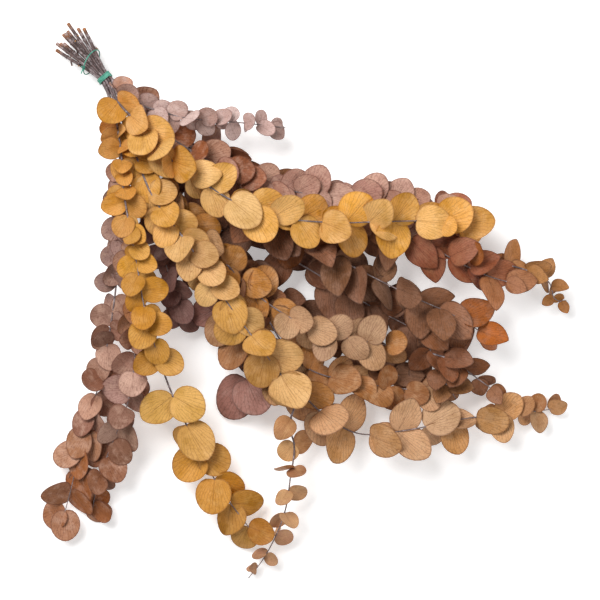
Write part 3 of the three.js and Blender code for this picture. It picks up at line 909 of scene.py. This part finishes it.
def leaf_directions(
    tangent: np.ndarray, plan: float, lift: float, roll: float
) -> tuple[np.ndarray, np.ndarray]:
    """The midrib and the upper face's direction of a leaf.

    Args:
        tangent: the stem's direction.
        plan: the turn away from the stem's heading.
        lift: how far the tip is raised.
        roll: the turn about the leaf's own midrib.

    Returns:
        Two unit vectors.
    """
    flat_length = math.sqrt(tangent[0] ** 2 + tangent[1] ** 2)
    heading = np.array([tangent[0] / flat_length, tangent[1] / flat_length, 0.0])
    left = np.array([-heading[1], heading[0], 0.0])
    rise = lift + math.asin(tangent[2]) * math.cos(plan)
    flat = heading * math.cos(plan) + left * math.sin(plan)
    midrib = flat * math.cos(rise) + np.array([0.0, 0.0, math.sin(rise)])
    upright = flat * -math.sin(rise) + np.array([0.0, 0.0, math.cos(rise)])
    side = np.cross(upright, midrib)
    return midrib, upright * math.cos(roll) + side * math.sin(roll)


@dataclass
class Layout:
    """Where every stem and leaf of the bunch lies."""

    routes: list[list[Route]] = field(default_factory=list)
    leaves: list[list[Leaf]] = field(default_factory=list)

    def __post_init__(self) -> None:
        """Lays out the stems, then hangs the leaves on them, branch by branch."""
        self.room = Room()
        self.chance = Chance(SEED)
        for owner, plan in enumerate(BRANCHES):
            lines = [Route(plan.full_route(i)) for i in range(len(plan.shoots))]
            for i, line in enumerate(lines):
                self.room.add_stem(line.points, SHOOT_RADIUS if i else STEM_RADIUS, owner)
            self.routes.append(lines)
        band = np.array([[x, 0.0, WAIST_HEIGHT] for x in (-WAIST_HALF_LENGTH, WAIST_HALF_LENGTH)])
        self.room.add_stem(band, BAND_CLEARANCE, -1)
        for owner, plan in enumerate(BRANCHES):
            placed = []
            for i, line in enumerate(self.routes[owner]):
                placed.extend(self._shoot_leaves(plan, owner, i, line))
            self.leaves.append(placed)

    def _shoot_leaves(self, plan: BranchPlan, owner: int, index: int, line: Route) -> list[Leaf]:
        """Hangs the leaves of one shoot in pairs, each pair crosswise to the one before.

        Args:
            plan: the branch.
            owner: its number.
            index: the shoot's place in its list.
            line: the shoot's route.

        Returns:
            The leaves that found room.
        """
        shoot = plan.shoots[index]
        lead = 0.0 if index else float(line.distances[2 * SAMPLES_PER_SPAN])
        start = lead + shoot.leafy_from
        leaves = []
        distance = start
        pair = 0
        while distance < line.length - END_MARGIN:
            share = (distance - start) / (line.length - start)
            length = value_along(shoot.leaf_lengths, share)
            root, tangent = line.at(distance)
            for side in (1, -1):
                if pair % 2 == 0:
                    wish = (SIDE_PLAN * side, plan.lift, -SIDE_ROLL * side)
                else:
                    wish = (CROSS_PLAN * side * (1 if pair % 4 == 1 else -1), CROSS_LIFT * side, 0.0)
                own_length = length * (1 + self.chance.around(SIZE_VARIATION))
                leaf = self._place_leaf(shoot.swing or plan.swing, owner, root, tangent, wish, own_length)
                if leaf:
                    leaf.shoot, leaf.distance, leaf.share = index, distance, share
                    leaves.append(leaf)
            distance += length * shoot.spacing
            pair += 1
        return leaves

    def _place_leaf(
        self,
        start_swing: float,
        owner: int,
        root: np.ndarray,
        tangent: np.ndarray,
        wish: tuple[float, float, float],
        length: float,
    ) -> Leaf | None:
        """Swings a leaf further and further until it has room. A leaf that finds none has fallen off.

        Args:
            start_swing: how freely the first try swings.
            owner: the number of the branch.
            root: where the leaf leaves the stem.
            tangent: the stem's direction there.
            wish: the plan, lift and roll that the leaf would like, in degrees.
            length: its length.

        Returns:
            The leaf, or None.
        """
        for attempt in range(TRIES):
            swing = start_swing + SWING_GROWTH * attempt / TRIES
            swings = (PLAN_SWING, LIFT_SWING, ROLL_SWING)
            angles = [math.radians(w + self.chance.around(s * swing)) for w, s in zip(wish, swings)]
            shrink = next((size for share, size in SHRINKS if attempt >= TRIES * share), 1.0)
            leaf = Leaf(root, *leaf_directions(tangent, *angles), length * shrink)
            if self.room.is_free(leaf, owner):
                self.room.add_leaf(leaf, owner)
                return leaf
        return None


# --- Pieces -------------------------------------------------------------------------------------------


def piece_from(
    bm: bmesh.types.BMesh, name: str, node: str, materials: Sequence[bpy.types.Material]
) -> None:
    """Turns a finished bmesh into a piece that stands for a node of the model.

    Args:
        bm: the shape, in metres. It is freed.
        name: the piece's name.
        node: the model's node.
        materials: the piece's materials, in the order of its faces' material numbers.
    """
    mesh = bpy.data.meshes.new(name)
    bm.to_mesh(mesh)
    bm.free()
    for material in materials:
        mesh.materials.append(material)
    piece = bpy.data.objects.new(name, mesh)
    bpy.context.scene.collection.objects.link(piece)
    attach(piece, BODY)
    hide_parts(node)
    LOG.info("%s: %d faces", name, len(mesh.polygons))


def frames_along(points: np.ndarray) -> list[tuple[Vector, Vector, Vector]]:
    """Carries a pair of crosswise directions along a line without twisting it.

    Args:
        points: the line's points.

    Returns:
        The side, the upward and the forward direction at each point.
    """
    forwards = [Vector(v).normalized() for v in np.gradient(points, axis=0)]
    side = forwards[0].orthogonal().normalized()
    frames = []
    for forward in forwards:
        side = (side - forward * side.dot(forward)).normalized()
        frames.append((side, forward.cross(side), forward))
    return frames


def sweep(
    bm: bmesh.types.BMesh, points: np.ndarray, radii: Sequence[float], sides: int
) -> list[Ring]:
    """Draws a closed round rod along a line.

    Args:
        bm: the mesh to add to.
        points: the rod's middle line, in metres.
        radii: its radius at each point, in metres.
        sides: the number of sides.

    Returns:
        The vertices of each ring.
    """
    places = []
    for point, radius, (side, up, forward) in zip(points, radii, frames_along(points)):
        turn = Matrix((side, up, forward)).transposed().to_4x4()
        places.append(Matrix.Translation(point) @ turn @ Matrix.Scale(radius, 4))
    start = bmesh.ops.create_circle(bm, cap_ends=True, segments=sides, radius=1.0, matrix=places[0])
    rings = [start["verts"]]
    edges = list({edge for vert in start["verts"] for edge in vert.link_edges})
    for before, after in zip(places, places[1:]):
        grown = bmesh.ops.extrude_edge_only(bm, edges=edges)["geom"]
        verts = [item for item in grown if isinstance(item, bmesh.types.BMVert)]
        grown_edges = [item for item in grown if isinstance(item, bmesh.types.BMEdge)]
        edges = [edge for edge in grown_edges if all(vert in verts for vert in edge.verts)]
        bmesh.ops.transform(bm, matrix=after @ before.inverted(), verts=verts)
        rings.append(verts)
    bmesh.ops.contextual_create(bm, geom=edges)
    return rings


def smooth_faces(bm: bmesh.types.BMesh) -> None:
    """Turns every face outwards and shades it smooth.

    Args:
        bm: the mesh.
    """
    bmesh.ops.recalc_face_normals(bm, faces=bm.faces)
    for face in bm.faces:
        face.smooth = True


# --- Leaves -------------------------------------------------------------------------------------------


@dataclass(frozen=True)
class Bend:
    """How one dry leaf is out of flat. Each amount is a share of half the leaf's length."""

    cup: float
    fold: float
    curl: float
    twist: float
    wave: float
    phase: float

    crumpled_share = 0.16
    crumpled_gain = 2.2

    @classmethod
    def drawn(cls, luck: random.Random) -> "Bend":
        """Draws the bend of one leaf.

        Args:
            luck: the branch's random numbers.

        Returns:
            The bend.
        """
        strength = cls.crumpled_gain if luck.random() < cls.crumpled_share else 1.0
        return cls(
            cup=luck.uniform(-0.10, 0.14) * strength,
            fold=luck.uniform(-0.04, 0.22) * strength,
            curl=luck.uniform(-0.22, 0.10) * strength,
            twist=luck.uniform(-0.12, 0.12) * strength,
            wave=luck.uniform(0.02, 0.07),
            phase=luck.uniform(0, 2 * math.pi),
        )

    def height(self, x: float, y: float) -> float:
        """The height over the flat leaf at a place on the unit disc, nil at the leaf's root."""
        return self._raw(x, y) - self._raw(-1.0, 0.0) * ((1 - x) / 2) ** 2

    def _raw(self, x: float, y: float) -> float:
        """The height before the root is put back on the stem.

        Args:
            x: the place along the midrib, -1 at the root.
            y: the place across it.

        Returns:
            The height.
        """
        reach = x * x + y * y
        return (
            self.cup * (reach - 0.5)
            + self.fold * (math.sqrt(y * y + 0.02) - 0.35)
            + self.curl * max(0.0, x) ** 2
            + self.twist * x * y
            + self.wave * reach * math.sin(3 * math.atan2(y, x) + self.phase)
        )


@dataclass
class Foliage:
    """The leaves of one branch, each one a bent copy of the same thin round blade."""

    plan: BranchPlan
    leaves: Sequence[Leaf]
    luck: random.Random
    cells: int = 6
    thickness: float = 0.45
    lowest: float = 0.3
    colour_drift: float = 0.08
    least_gain: float = 0.84
    most_gain: float = 1.14
    most_bloom: float = 0.5
    underside_share: float = 0.55
    crisp_angle: float = 50.0

    def build(self, origin: np.ndarray) -> None:
        """Makes the branch's leaves as one piece, with the layout's origin at a place in the frame.

        Args:
            origin: the layout's origin in the frame, in metres.
        """
        bm = bmesh.new()
        self.unit = bm.loops.layers.uv.new("leaf")
        self.tint = bm.loops.layers.float_color.new("leaf_colour")
        blade = self._blade(bm)
        for leaf in self.leaves:
            copy = bmesh.ops.duplicate(bm, geom=blade)["geom"]
            self._place(copy, leaf, origin)
        bmesh.ops.delete(bm, geom=[item for item in blade if isinstance(item, bmesh.types.BMVert)])
        for face in bm.faces:
            face.smooth = True
        name = self.plan.name.replace("_branch", "_leaves")
        finish = self.plan.tone.value
        piece_from(bm, name, self.plan.name, [finish.material()])

    def _blade(self, bm: bmesh.types.BMesh) -> list:
        """Makes the flat blade on the unit disc, with its underside one unit below its upper face.

        Args:
            bm: the mesh to add to.

        Returns:
            Its vertices, edges and faces.
        """
        bmesh.ops.create_grid(bm, x_segments=self.cells, y_segments=self.cells, size=1.0)
        for face in bm.faces:
            for loop in face.loops:
                x, y = self._on_disc(loop.vert.co.x, loop.vert.co.y)
                loop[self.unit].uv = ((x + 1) / 2, (y + 1) / 2)
        for vert in bm.verts:
            vert.co.x, vert.co.y = self._on_disc(vert.co.x, vert.co.y)
        upper = list(bm.faces)
        grown = bmesh.ops.extrude_face_region(bm, geom=upper, use_keep_orig=True)["geom"]
        lower = [item for item in grown if isinstance(item, bmesh.types.BMVert)]
        bmesh.ops.translate(bm, vec=(0.0, 0.0, -1.0), verts=lower)
        bmesh.ops.recalc_face_normals(bm, faces=bm.faces)
        for edge in bm.edges:
            edge.smooth = edge.calc_face_angle(0.0) < math.radians(self.crisp_angle)
        return [*bm.verts, *bm.edges, *bm.faces]

    @staticmethod
    def _on_disc(x: float, y: float) -> tuple[float, float]:
        """Maps the square grid onto the unit disc."""
        return x * math.sqrt(1 - y * y / 2), y * math.sqrt(1 - x * x / 2)

    def _place(self, copy: list, leaf: Leaf, origin: np.ndarray) -> None:
        """Bends a copy of the blade, puts it in the leaf's place and colours it.

        Args:
            copy: the copy's vertices, edges and faces.
            leaf: the leaf.
            origin: the layout's origin in the frame, in metres.
        """
        bend = Bend.drawn(self.luck)
        outline = self.plan.blade.value.varied(self.luck)
        half = leaf.size / 2
        across_way = np.cross(leaf.normal, leaf.midrib)
        for vert in copy:
            if not isinstance(vert, bmesh.types.BMVert):
                continue
            x, y, layer = vert.co
            along, across = outline.at(x, y)
            height = bend.height(x, y) * half + self.thickness * (layer + 0.5)
            spot = leaf.root + leaf.midrib * ((along + 1) * half) + across_way * (across * half)
            spot = (spot + leaf.normal * height) * MM + origin
            vert.co = (spot[0], spot[1], max(spot[2], (self.lowest + self.thickness * (layer + 1)) * MM))
        upper, under = self._colours(leaf)
        for face in copy:
            if not isinstance(face, bmesh.types.BMFace):
                continue
            face.normal_update()
            seen = under if np.dot(face.normal, leaf.normal) < 0 else upper
            for loop in face.loops:
                loop[self.tint] = seen

    def _colours(self, leaf: Leaf) -> tuple[tuple[float, ...], tuple[float, ...]]:
        """Draws the colours of a leaf's upper face and underside.

        Args:
            leaf: the leaf.

        Returns:
            The two colours, linear.
        """
        shoot = self.plan.shoots[leaf.shoot]
        tones = [linear(colour) for colour in shoot.colours]
        share = leaf.share + self.luck.uniform(-self.colour_drift, self.colour_drift)
        place = min(max(share, 0), 1) * (len(tones) - 1)
        i = min(int(place), len(tones) - 2)
        own = blended(tones[i], tones[i + 1], place - i)
        gain = self.luck.uniform(self.least_gain, self.most_gain)
        own = tuple(channel * gain for channel in own[:3])
        paler = self.luck.random() ** 3 * self.most_bloom
        upper = blended((*own, 1.0), linear(self.plan.tone.value.bloom), paler)
        return upper, blended(upper, linear(self.plan.tone.value.underside), self.underside_share)


# --- Stems --------------------------------------------------------------------------------------------


@dataclass
class Stems:
    """The bare wood of one branch: the main stem, its side shoots, and the snags of shoots cut away."""

    plan: BranchPlan
    routes: Sequence[Route]
    leaves: Sequence[Leaf]
    luck: random.Random
    butt_radius: float = 2.0
    butt_length: float = 60.0
    waist_radius: float = 1.48
    waist_from: float = 40.0
    waist_to: float = 75.0
    shoot_radius: float = 1.15
    tip_radius: float = 0.5
    ring_step: float = 5.0
    first_scar: float = 16.0
    scar_step: float = 27.0
    scar_gap: float = 8.0
    node_swelling: float = 0.28
    node_reach: float = 1.8
    lowest: float = 0.2
    snags_at: tuple[float, ...] = (16.0, 27.0)
    snag_chance: float = 0.45
    snag_radius: float = 1.25
    snag_taper: float = 0.35
    snag_rise: float = 1.2
    snag_lengths: tuple[float, float] = (4.5, 9.0)
    snag_along: float = 0.75
    snag_out: float = 0.66
    sides: int = 8
    end_tone: str = "#a5642c"
    end_reach: float = 9.0
    butt_tone: str = "#4c3029"
    butt_reach: float = 110.0
    middle_tone: str = "#6a5a5c"
    tip_tone: str = "#83716e"
    least_gain: float = 0.65
    most_gain: float = 1.25

    def build(self, origin: np.ndarray, bark: bpy.types.Material, wood: bpy.types.Material) -> None:
        """Makes the branch's wood as one piece, with the layout's origin at a place in the frame.

        Args:
            origin: the layout's origin in the frame, in metres.
            bark: the bark's material.
            wood: the cut ends' material.
        """
        bm = bmesh.new()
        self.tint = bm.verts.layers.float_color.new("bark_colour")
        ends = []
        for index, route in enumerate(self.routes):
            rings = self._shoot(bm, index, route, origin)
            if index == 0:
                ends.append(rings[0])
        for start, way, length in self._snag_places():
            ends.append(self._snag(bm, start, way, length, origin)[-1])
        for vert in bm.verts:
            vert.co.z = max(vert.co.z, self.lowest * MM)
        smooth_faces(bm)
        for ring in ends:
            self._cut(ring)
        name = self.plan.name.replace("_branch", "_stem")
        piece_from(bm, name, self.plan.name, [bark, wood])

    def _shoot(self, bm: bmesh.types.BMesh, index: int, route: Route, origin: np.ndarray) -> list[Ring]:
        """Draws one shoot, with a swelling at each pair of leaves and at each old leaf scar.

        Args:
            bm: the mesh to add to.
            index: the shoot's place in the list.
            route: its route.
            origin: the layout's origin in the frame, in metres.

        Returns:
            The vertices of each ring.
        """
        nodes = sorted({leaf.distance for leaf in self.leaves if leaf.shoot == index})
        first = nodes[0] if nodes else route.length
        scars = [] if index else list(np.arange(self.first_scar, first - self.scar_gap, self.scar_step))
        nodes = [*scars, *nodes]
        places = set(np.linspace(0, route.length, max(2, int(route.length / self.ring_step))))
        for node in nodes:
            near = {place for place in places if abs(place - node) < self.node_reach * 1.3}
            places -= near - {0.0, route.length}
            swelling = (node - self.node_reach, node, node + self.node_reach)
            places |= {place for place in swelling if 0 < place < route.length}
        distances = sorted(places)
        points = np.array([route.at(distance)[0] for distance in distances])
        radii = [self._radius(index, distance, route.length, nodes) * MM for distance in distances]
        rings = sweep(bm, points * MM + origin, radii, self.sides)
        for distance, ring in zip(distances, rings):
            tone = self._tone(index, distance, route.length)
            for vert in ring:
                vert[self.tint] = tone
        return rings

    def _radius(self, index: int, distance: float, length: float, nodes: Sequence[float]) -> float:
        """The radius at a distance along a shoot, in millimetres.

        Args:
            index: the shoot's place in the list.
            distance: the distance from its start.
            length: its length.
            nodes: the distances of its swellings.

        Returns:
            The radius.
        """
        if index:
            radius = self.shoot_radius + (self.tip_radius - self.shoot_radius) * distance / length
        elif distance < self.butt_length:
            radius = self.butt_radius + (self.waist_radius - self.butt_radius) * distance / self.butt_length
        else:
            share = (distance - self.butt_length) / (length - self.butt_length)
            radius = self.waist_radius + (self.tip_radius - self.waist_radius) * share
        if index == 0 and self.waist_from < distance < self.waist_to:
            return min(radius, self.waist_radius)
        swollen = any(abs(distance - node) < self.node_reach * 0.5 for node in nodes)
        return radius * (1 + self.node_swelling * swollen)

    def _tone(self, index: int, distance: float, length: float) -> tuple[float, ...]:
        """The bark's colour along a shoot: orange at the cut end, then dark, then grey-mauve.

        Args:
            index: the shoot's place in the list.
            distance: the distance from its start.
            length: its length.

        Returns:
            The colour, linear.
        """
        tone = blended(linear(self.middle_tone), linear(self.tip_tone), distance / length)
        if index == 0:
            butt = blended(linear(self.end_tone), linear(self.butt_tone), min(1, distance / self.end_reach))
            tone = blended(butt, tone, min(1, distance / self.butt_reach))
        gain = self.luck.uniform(self.least_gain, self.most_gain)
        return (*(channel * gain for channel in tone[:3]), 1.0)

    def _snag_places(self) -> list[tuple[np.ndarray, np.ndarray, float]]:
        """Where the stem keeps the snags of shoots cut away: a root, a direction and a length each.

        Returns:
            The roots, directions and lengths.
        """
        snags = []
        for distance in self.snags_at:
            if self.luck.random() > self.snag_chance:
                continue
            point, tangent = self.routes[0].at(distance + self.luck.uniform(-5, 5))
            out = np.array([0.0, self.plan.column, self.plan.row + self.luck.uniform(-0.5, 0.5)])
            out -= tangent * out.dot(tangent)
            out /= max(np.linalg.norm(out), 1e-6)
            way = tangent * self.snag_along + out * self.snag_out
            snags.append((point, way, self.luck.uniform(*self.snag_lengths)))
        return snags

    def _snag(
        self, bm: bmesh.types.BMesh, start: np.ndarray, way: np.ndarray, length: float, origin: np.ndarray
    ) -> list[Ring]:
        """Draws a short cut stub that bends away from the stem.

        Args:
            bm: the mesh to add to.
            start: its root on the stem.
            way: its direction.
            length: its length.
            origin: the layout's origin in the frame, in metres.

        Returns:
            The vertices of each ring.
        """
        shares = np.linspace(0, 1, 4)
        rises = [np.array([0.0, 0.0, self.snag_rise * s * s]) for s in shares]
        points = np.array([start + way * length * s + rise for s, rise in zip(shares, rises)])
        radii = [(self.snag_radius - self.snag_taper * s) * MM for s in shares]
        rings = sweep(bm, points * MM + origin, radii, self.sides - 2)
        tone = linear(self.butt_tone)
        for ring in rings:
            for vert in ring:
                vert[self.tint] = tone
        return rings

    @staticmethod
    def _cut(ring: Ring) -> None:
        """Gives the end face over a ring the colour of cut wood, with a crisp edge.

        Args:
            ring: the vertices round the end.
        """
        members = set(ring)
        for vert in ring:
            for face in vert.link_faces:
                if len(face.verts) == len(ring) and set(face.verts) == members:
                    face.material_index = 1
                    face.smooth = False
                    for edge in face.edges:
                        edge.smooth = False


# --- Ties ---------------------------------------------------------------------------------------------


@dataclass
class ElasticWrap:
    """The elastic wound round the waist: turns of one strand, pulled tight over the outer stems."""

    strand_radius: float = 0.62
    stem_radius: float = 1.5
    turns: float = 5.25
    pitch: float = 1.22
    steps_per_turn: int = 44
    wander: float = 0.22
    slack: float = 0.35
    sides: int = 8

    def build(self, origin: np.ndarray, rubber: bpy.types.Material) -> None:
        """Makes the wound strand in place of the model's band.

        Args:
            origin: the layout's origin in the frame, in metres.
            rubber: the strand's material.
        """
        bm = bmesh.new()
        points = self._path()
        sweep(bm, points * MM + origin, [self.strand_radius * MM] * len(points), self.sides)
        smooth_faces(bm)
        piece_from(bm, "tie_band_strand", "tie_band", [rubber])

    def _path(self) -> np.ndarray:
        """The strand's middle line in the layout: a helix whose turns follow the outer stems.

        Returns:
            The line's points, in millimetres.
        """
        stems = np.array([[plan.column * STEM_PITCH, plan.row * ROW_PITCH] for plan in BRANCHES])
        count = int(self.turns * self.steps_per_turn)
        slope = WAIST_RISE / WAIST_HALF_LENGTH
        points = []
        for i in range(count):
            turn = i / self.steps_per_turn
            angle = 2 * math.pi * turn
            out = np.array([math.cos(angle), math.sin(angle)])
            corner = stems[int(np.argmax(stems @ out))]
            spread = self.strand_radius * self.slack * (1 + math.sin(2.3 * angle))
            y, z = corner + out * (self.stem_radius + self.strand_radius + spread)
            x = (turn - self.turns / 2) * self.pitch + self.wander * math.sin(0.83 * angle + 1)
            points.append([x, y, WAIST_HEIGHT + z + x * slope])
        path = np.array(points)
        for _ in range(2):
            path[1:-1] = path[1:-1] / 2 + (path[:-2] + path[2:]) / 4
        return path


@dataclass
class LooseLoop:
    """The thin loop of elastic that hangs round the cut ends, closed by a small wound knot."""

    strand_radius: float = 0.62
    half_width: float = 15.5
    half_height: float = 13.0
    lean: float = 0.35
    steps: int = 72
    knot_place: float = 0.62
    knot_turns: int = 3
    knot_radius: float = 1.15
    knot_length: float = 3.6
    knot_steps: int = 12
    loop_radius: float = 14.0
    tail_length: float = 5.0
    tail_steps: int = 7
    out_of_round: float = 0.03
    out_of_flat: float = 0.5
    sides: int = 8

    def build(self, rubber: bpy.types.Material) -> None:
        """Makes the loop, its knot and the strand's two tails in place of the model's ring.

        Args:
            rubber: the strand's material.
        """
        low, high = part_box("tie_loop")
        centre = np.array((low + high) / 2)
        bm = bmesh.new()
        ring = np.array([self._spot(2 * math.pi * i / self.steps) for i in range(self.steps + 1)])
        strands = [ring, self._knot(), *self._tails()]
        for strand in strands:
            sweep(bm, strand * MM + centre, [self.strand_radius * MM] * len(strand), self.sides)
        smooth_faces(bm)
        piece_from(bm, "tie_loop_strand", "tie_loop", [rubber])

    def _turned(self, x: float, y: float, z: float) -> np.ndarray:
        """Turns a place on the flat loop upright, square to the sloping stems and then askew.

        Args:
            x: the place along the loop's height.
            y: the place along its width.
            z: the place out of its plane.

        Returns:
            The place from the loop's middle, in millimetres.
        """
        tilt = math.pi / 2 - math.atan2(WAIST_RISE, WAIST_HALF_LENGTH)
        upright = Matrix.Rotation(self.lean, 3, "Z") @ Matrix.Rotation(tilt, 3, "Y")
        return np.array(upright @ Vector((x, y, z)))

    def _spot(self, angle: float) -> np.ndarray:
        """The loop's middle line at an angle, a little out of round and out of flat.

        Args:
            angle: the angle round the loop.

        Returns:
            The place from the loop's middle, in millimetres.
        """
        out = 1 - self.out_of_round * (1 + math.sin(3 * angle + 0.5))
        sway = self.out_of_flat * math.sin(2 * angle)
        x = self.half_height * out * math.cos(angle)
        y = self.half_width * out * math.sin(angle)
        return self._turned(x, y, sway)

    def _knot(self) -> np.ndarray:
        """A few tight turns of the strand round the loop.

        Returns:
            The strand's middle line.
        """
        count = self.knot_turns * self.knot_steps
        points = []
        for i in range(count + 1):
            share = i / count - 0.5
            reach = share * self.knot_length / (2 * math.pi * self.loop_radius)
            angle = 2 * math.pi * (self.knot_place + reach)
            spot = self._spot(angle)
            way = self._spot(angle + 0.01) - spot
            way /= np.linalg.norm(way)
            first = np.cross(way, [0.3, 0.5, 0.8])
            first /= np.linalg.norm(first)
            spin = 2 * math.pi * self.knot_turns * share
            out = first * math.cos(spin) + np.cross(way, first) * math.sin(spin)
            points.append(spot + out * self.knot_radius)
        return np.array(points)

    def _tails(self) -> list[np.ndarray]:
        """The strand's two cut ends, springing from the knot.

        Returns:
            The middle line of each.
        """
        spot = self._spot(2 * math.pi * self.knot_place)
        outwards = spot / np.linalg.norm(spot)
        way = self._spot(2 * math.pi * self.knot_place + 0.01) - spot
        way /= np.linalg.norm(way)
        tails = []
        for side in (1, -1):
            shares = np.linspace(0, 1, self.tail_steps)
            bow = outwards * 0.8 + way * side * 0.6
            points = [spot + bow * self.tail_length * s + way * side * 2.0 * s * s for s in shares]
            tails.append(np.array(points))
        return tails


# --- Studio -------------------------------------------------------------------------------------------


@dataclass
class Studio:
    """A plain white table under soft light, with the camera straight above the bunch."""

    origin: np.ndarray
    floor_half_width: float = 12.0
    floor_colour: str = "#f4f4f4"
    floor_glow: float = 0.40
    world_strength: float = 0.22
    softbox_size: float = 1.3
    key_energy: float = 56.0
    key_place: Point = (-0.9, 1.0, 1.9)
    fill_energy: float = 13.0
    fill_place: Point = (1.2, -0.6, 1.6)
    camera_height: float = 1940.0
    camera_over: tuple[float, float] = (327.0, 7.0)
    camera_turn: float = 50.0
    lens: float = 103.6

    def build(self) -> None:
        """Sets up the floor, the lights and the camera."""
        self._floor()
        x, y = self.origin[:2] + np.array(self.camera_over) * MM
        over = Vector((x, y, 0))
        turn = Matrix.Rotation(math.radians(self.camera_turn), 3, "Z")
        key_place, fill_place = (over + turn @ Vector(place) for place in (self.key_place, self.fill_place))
        self._softbox("key_light", over, key_place, self.key_energy, self.softbox_size)
        self._softbox("fill_light", over, fill_place, self.fill_energy, self.softbox_size)
        self._sky()
        camera = bpy.data.objects.new("camera", bpy.data.cameras.new("camera"))
        camera.data.lens = self.lens
        camera.location = over + Vector((0, 0, self.camera_height * MM))
        camera.rotation_euler = (0.0, 0.0, math.radians(self.camera_turn))
        bpy.context.scene.collection.objects.link(camera)
        bpy.context.scene.camera = camera
        bpy.context.scene.view_settings.view_transform = "Standard"

    def _floor(self) -> None:
        """The table top, in matt white paper with a little light of its own."""
        bm = bmesh.new()
        bmesh.ops.create_grid(bm, x_segments=1, y_segments=1, size=self.floor_half_width)
        mesh = bpy.data.meshes.new("floor")
        bm.to_mesh(mesh)
        bm.free()
        paper = Surface("matt_white_paper")
        white = linear(self.floor_colour)
        glow = {"Emission_Color": white, "Emission_Strength": self.floor_glow}
        mesh.materials.append(paper.finish(Base_Color=white, Roughness=0.9, **glow))
        floor = bpy.data.objects.new("floor", mesh)
        bpy.context.scene.collection.objects.link(floor)

    @staticmethod
    def _softbox(name: str, target: Vector, place: Vector, energy: float, size: float) -> None:
        """Hangs a square soft light at a place, aimed at a target.

        Args:
            name: the light's name.
            target: the point it is aimed at.
            place: where it hangs.
            energy: its power in watts.
            size: its width in metres.
        """
        light = bpy.data.lights.new(name, "AREA")
        light.energy = energy
        light.size = size
        lamp = bpy.data.objects.new(name, light)
        lamp.location = place
        lamp.rotation_euler = (target - place).to_track_quat("-Z", "Y").to_euler()
        bpy.context.scene.collection.objects.link(lamp)

    def _sky(self) -> None:
        """An even white surround."""
        world = bpy.data.worlds.new("studio")
        world.use_nodes = True
        world.node_tree.nodes["Background"].inputs["Color"].default_value = (1, 1, 1, 1)
        world.node_tree.nodes["Background"].inputs["Strength"].default_value = self.world_strength
        bpy.context.scene.world = world


def main() -> None:
    """Builds the bunch, piece by piece, and the studio round it."""
    logging.basicConfig(level=logging.INFO, format="%(name)s: %(message)s")
    low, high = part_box("tie_band")
    origin = np.array((low + high) / 2, float) - np.array([0.0, 0.0, WAIST_HEIGHT * MM])
    Studio(origin).build()
    layout = Layout()
    bark = BarkFinish().material()
    wood = CutWoodFinish().material()
    rubber = ElasticFinish().material()
    for i, plan in enumerate(BRANCHES):
        luck = random.Random(SEED + i)
        Stems(plan, layout.routes[i], layout.leaves[i], luck).build(origin, bark, wood)
        Foliage(plan, layout.leaves[i], luck).build(origin)
    ElasticWrap().build(origin, rubber)
    LooseLoop().build(rubber)


if __name__ == "__main__":
    main()
